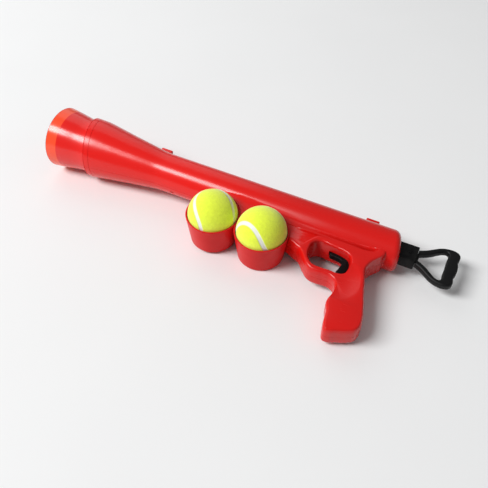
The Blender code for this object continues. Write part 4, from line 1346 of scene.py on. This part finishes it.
def plastic(name, base, worn):
    """A moulded plastic with worn edges. The base is a colour, or a function that paints zones."""
    roughness, mottle, grain, grain_scale, wear, strength, level = PLASTICS[name]
    tree, shader = new_finish(name)
    surface = shared(tree, "moulded surface",
                     {"Colour": base(tree) if callable(base) else opaque(base), "Mottle": mottle,
                      "Roughness": roughness, "Grain": grain, "Grain Scale": grain_scale})
    edges = shared(tree, "edge wear", {"Colour": surface.outputs["Colour"],
                                       "Worn": opaque(worn), "Amount": wear})
    rubbed = maths(tree, "MULTIPLY", edges.outputs["Mask"], 0.2)
    feed(tree, shader, {"Base Color": edges.outputs["Colour"],
                        "Roughness": maths(tree, "ADD", surface.outputs["Roughness"], rubbed),
                        "Specular IOR Level": level,
                        "Normal": bumps(tree, surface.outputs["Height"], strength, PLASTIC_DEPTH)})


def band_zone(band, red, length):
    """A base colour that turns from the band's to the lined sleeve's at a station."""
    def paint(tree):
        """Mix the colours by the station on the sleeve, with painted shade along the rim at the
        mouth.
        """
        station = add(tree, "ShaderNodeAttribute", attribute_name="station").outputs["Fac"]
        lined = ranged(tree, station, length - BAND_BLEND, length + BAND_BLEND)
        # Painted shade: a dark red along the rim at the mouth.
        lip = ranged(tree, station, RIM_SHADE_END, RIM_SHADE_FULL)
        return mixed(tree, lip, mixed(tree, lined, opaque(band), opaque(red)), opaque(RIM_SHADE_RED))
    return paint


def falloff_shade_zone(red, deep):
    """A base colour painted darker from the horn to the grip: painted shade for light that falls
    off along the body.
    """
    def paint(tree):
        """Mix the lit red and the painted-shade red along the launcher."""
        along = add(tree, "ShaderNodeSeparateXYZ", {"Vector": object_place(tree)}).outputs["X"]
        return mixed(tree, ranged(tree, along, *PAINTED_FALLOFF_SPAN), opaque(red), opaque(deep))
    return paint


def felt_finish(colours):
    """Tennis felt: combed fibres over a rubber seam, with a painted sheen where it is seen edge on.
    """
    tree, shader = new_finish("tennis felt")
    place = object_place(tree)
    fibres = cloud(tree, place, FIBRE_SCALE, 5.0, 0.7)
    tufts = cloud(tree, place, TUFT_SCALE, 4.0, 0.6)
    seam = add(tree, "ShaderNodeAttribute", attribute_name="seam").outputs["Fac"]
    deep = tuple(value * 0.90 for value in colours.felt)
    bright = tuple(min(1.0, value * 1.25 + 0.03) for value in colours.felt)
    nap = mixed(tree, ranged(tree, tufts, 0.30, 0.72), opaque(deep), opaque(colours.felt))
    # Painted sheen: where the felt is seen edge on, its colour is mixed toward the paler felt rim
    # colour.
    facing = add(tree, "ShaderNodeLayerWeight", {"Blend": 0.30}).outputs["Facing"]
    nap = mixed(tree, ranged(tree, facing, 0.35, 0.95, 0.0, 0.85), nap, opaque(colours.felt_sheen_rim))
    nap = mixed(tree, ranged(tree, fibres, 0.45, 0.75, 0.0, 0.35), nap, opaque(bright))
    grime = ranged(tree, cloud(tree, place, GRIME_SCALE), 0.3, 0.7, 0.0, 0.25)
    rubber = mixed(tree, grime, opaque(colours.seam), opaque(SEAM_GRIME))
    felted = maths(tree, "SUBTRACT", 1.0, seam)
    pile = maths(tree, "ADD", maths(tree, "MULTIPLY", fibres, 0.5), tufts)
    height = maths(tree, "MULTIPLY", pile, felted)
    feed(tree, shader, {"Base Color": mixed(tree, seam, nap, rubber),
                        "Roughness": ranged(tree, seam, 0.0, 1.0, 0.97, 0.6),
                        "Sheen Weight": 0.35, "Sheen Roughness": 0.6, "Specular IOR Level": 0.2,
                        "Normal": bumps(tree, height, 0.40, FELT_DEPTH)})


def steel_finish(colours):
    """Plated steel with fine turning marks."""
    tree, shader = new_finish("steel")
    surface = shared(tree, "moulded surface",
                     {"Colour": opaque(colours.steel), "Mottle": 0.35, "Roughness": 0.30,
                      "Roughness Change": 0.16, "Grain Scale": 3200.0})
    feed(tree, shader, {"Base Color": surface.outputs["Colour"],
                        "Roughness": surface.outputs["Roughness"], "Metallic": 1.0,
                        "Normal": bumps(tree, surface.outputs["Height"], 0.25, STEEL_DEPTH)})


def floor_finish(colours):
    """A pale matt floor."""
    tree, shader = new_finish("floor")
    faint = ranged(tree, cloud(tree, object_place(tree), FLOOR_SCALE, 2.0), 0.3, 0.7)
    darker = tuple(value * 0.985 for value in colours.floor)
    feed(tree, shader, {"Base Color": mixed(tree, faint, opaque(colours.floor), opaque(darker)),
                        "Roughness": 0.75, "Specular IOR Level": 0.25})


def build_finishes(settings):
    """Every material, and the finish of each node that stays as it is."""
    colours = settings.finishes
    moulded_group()
    wear_group()
    band = band_zone(colours.band, colours.red, settings.housing.band_length)
    plastic("red plastic", falloff_shade_zone(colours.red, colours.shaded_red), PALE_RED)
    plastic("clear red plastic", band, PALE_RED)
    plastic("crimson plastic", colours.crimson, PALE_RED)
    plastic("black plastic", colours.black, WORN_GREY)
    plastic("grained black plastic", colours.black, WORN_GREY)
    plastic("black rubber", colours.rubber, WORN_GREY)
    felt_finish(colours)
    steel_finish(colours)
    floor_finish(colours)
    for finish, nodes in KEPT_NODES.items():
        for node in nodes:
            for slot in frame["nodes"][node].material_slots:
                slot.material = bpy.data.materials[finish]


# Stage


def soft_lamp(name, place, aim, length, height, power):
    """A rectangular soft lamp in the launcher's frame, facing a station on its axis."""
    lamp = bpy.data.lights.new(name, "AREA")
    lamp.shape = "RECTANGLE"
    lamp.size = length
    lamp.size_y = height
    lamp.energy = power
    made = raw_object(name, lamp)
    turn = launcher_frame()
    start, end = turn @ Vector(place), turn @ Vector((aim, 0.0, 0.0))
    back = (start - end).normalized()
    along = turn.to_3x3() @ Vector((1.0, 0.0, 0.0))
    along = (along - back * along.dot(back)).normalized()
    made.matrix_world = Matrix((along, back.cross(along), back)).transposed().to_4x4()
    made.matrix_world.translation = start


def build_surroundings(stage):
    """The pale floor and the pale light from all round."""
    work = bmesh.new()
    bmesh.ops.create_grid(work, x_segments=8, y_segments=8, size=stage.floor_size / 2)
    floor = mesh_of("floor", work)
    floor.data.materials.append(bpy.data.materials["floor"])
    world = bpy.data.worlds.new("surroundings")
    world.use_nodes = True
    backdrop = world.node_tree.nodes["Background"]
    feed(world.node_tree, backdrop, {"Color": opaque((1.0, 1.0, 1.0)), "Strength": stage.fill})
    bpy.context.scene.world = world


def build_camera(stage):
    """The camera, above the launcher on the side of its grip."""
    camera = bpy.data.cameras.new("camera")
    camera.angle = stage.view_angle
    camera.clip_start = stage.near_limit
    made = raw_object("camera", camera)
    back = -Vector(stage.forward).normalized()
    side = Vector(stage.upward).cross(back).normalized()
    turn = Matrix((side, back.cross(side), back)).transposed().to_4x4()
    made.matrix_world = launcher_frame() @ Matrix.Translation(Vector(stage.eye)) @ turn
    bpy.context.scene.camera = made
    bpy.context.scene.view_settings.view_transform = "Standard"


def build_stage(settings):
    """Floor, surroundings, lamps and camera."""
    stage = settings.stage
    build_surroundings(stage)
    soft_lamp("key_lamp", stage.key_place, stage.key_aim, stage.key_length, stage.key_height,
              stage.key_power)
    soft_lamp("top_lamp", stage.top_place, stage.top_aim, stage.top_side, stage.top_side,
              stage.top_power)
    build_camera(stage)


class LAUNCHER_OT_finishes(bpy.types.Operator):
    """Make every finish and paint the pieces that stay as they are"""

    bl_idname = "launcher.finishes"
    bl_label = "Finishes"

    def execute(self, context):
        """Make the finishes."""
        build_finishes(context.scene.launcher)
        return {"FINISHED"}


class LAUNCHER_OT_housing(bpy.types.Operator):
    """Build the two halves of the red body"""

    bl_idname = "launcher.housing"
    bl_label = "Body"

    def execute(self, context):
        """Build the halves."""
        build_housing(context.scene.launcher)
        return {"FINISHED"}


class LAUNCHER_OT_sleeve(bpy.types.Operator):
    """Build the flared sleeve at the mouth"""

    bl_idname = "launcher.sleeve"
    bl_label = "Mouth Sleeve"

    def execute(self, context):
        """Build the sleeve."""
        build_sleeve(context.scene.launcher)
        return {"FINISHED"}


class LAUNCHER_OT_cups(bpy.types.Operator):
    """Build the two ball cups"""

    bl_idname = "launcher.cups"
    bl_label = "Ball Cups"

    def execute(self, context):
        """Build the cups."""
        build_cups(context.scene.launcher)
        return {"FINISHED"}


class LAUNCHER_OT_balls(bpy.types.Operator):
    """Build the two tennis balls"""

    bl_idname = "launcher.balls"
    bl_label = "Tennis Balls"

    def execute(self, context):
        """Build the balls."""
        build_balls(context.scene.launcher)
        return {"FINISHED"}


class LAUNCHER_OT_pull_bar(bpy.types.Operator):
    """Build the pull bar"""

    bl_idname = "launcher.pull_bar"
    bl_label = "Pull Bar"

    def execute(self, context):
        """Build the bar."""
        build_pull_bar(context.scene.launcher)
        return {"FINISHED"}


class LAUNCHER_OT_pull_loop(bpy.types.Operator):
    """Build the hand loop and its pin"""

    bl_idname = "launcher.pull_loop"
    bl_label = "Hand Loop"

    def execute(self, context):
        """Build the loop and its pin."""
        build_pull_loop(context.scene.launcher)
        build_loop_pin(context.scene.launcher)
        return {"FINISHED"}


class LAUNCHER_OT_trigger(bpy.types.Operator):
    """Build the trigger"""

    bl_idname = "launcher.trigger"
    bl_label = "Trigger"

    def execute(self, context):
        """Build the trigger."""
        build_trigger(context.scene.launcher)
        return {"FINISHED"}


class LAUNCHER_OT_screws(bpy.types.Operator):
    """Build the body screws"""

    bl_idname = "launcher.screws"
    bl_label = "Body Screws"

    def execute(self, context):
        """Build the screws."""
        build_screws(context.scene.launcher)
        return {"FINISHED"}


class LAUNCHER_OT_stage(bpy.types.Operator):
    """Build the floor, lamps and camera"""

    bl_idname = "launcher.stage"
    bl_label = "Stage"

    def execute(self, context):
        """Build the stage."""
        build_stage(context.scene.launcher)
        return {"FINISHED"}


OPERATORS = (LAUNCHER_OT_finishes, LAUNCHER_OT_housing, LAUNCHER_OT_sleeve, LAUNCHER_OT_cups,
             LAUNCHER_OT_balls, LAUNCHER_OT_pull_bar, LAUNCHER_OT_pull_loop, LAUNCHER_OT_trigger,
             LAUNCHER_OT_screws, LAUNCHER_OT_stage)


class LAUNCHER_PT_panel(bpy.types.Panel):
    """Lists the launcher's building steps."""

    bl_idname = "LAUNCHER_PT_panel"
    bl_label = "Ball Thrower"
    bl_space_type = "VIEW_3D"
    bl_region_type = "UI"
    bl_category = "Ball Thrower"

    def draw(self, context):
        """Draw one button for each step."""
        for step in OPERATORS:
            self.layout.operator(step.bl_idname)


CLASSES = (HousingSizes, CupSizes, BallSizes, PullSizes, TriggerSizes, ScrewSizes, Finishes,
           StageSizes, LauncherSettings, *OPERATORS, LAUNCHER_PT_panel)


def register():
    """Register the classes and the launcher's settings."""
    for made in CLASSES:
        bpy.utils.register_class(made)
    bpy.types.Scene.launcher = PointerProperty(type=LauncherSettings, name="Launcher",
                                               description="Sizes and colours")


def unregister():
    """Remove the settings and the classes."""
    del bpy.types.Scene.launcher
    for made in reversed(CLASSES):
        bpy.utils.unregister_class(made)


def main():
    """Build every piece in order."""
    register()
    for step in OPERATORS:
        group, name = step.bl_idname.split(".")
        getattr(getattr(bpy.ops, group), name)()


if __name__ == "__main__":
    main()
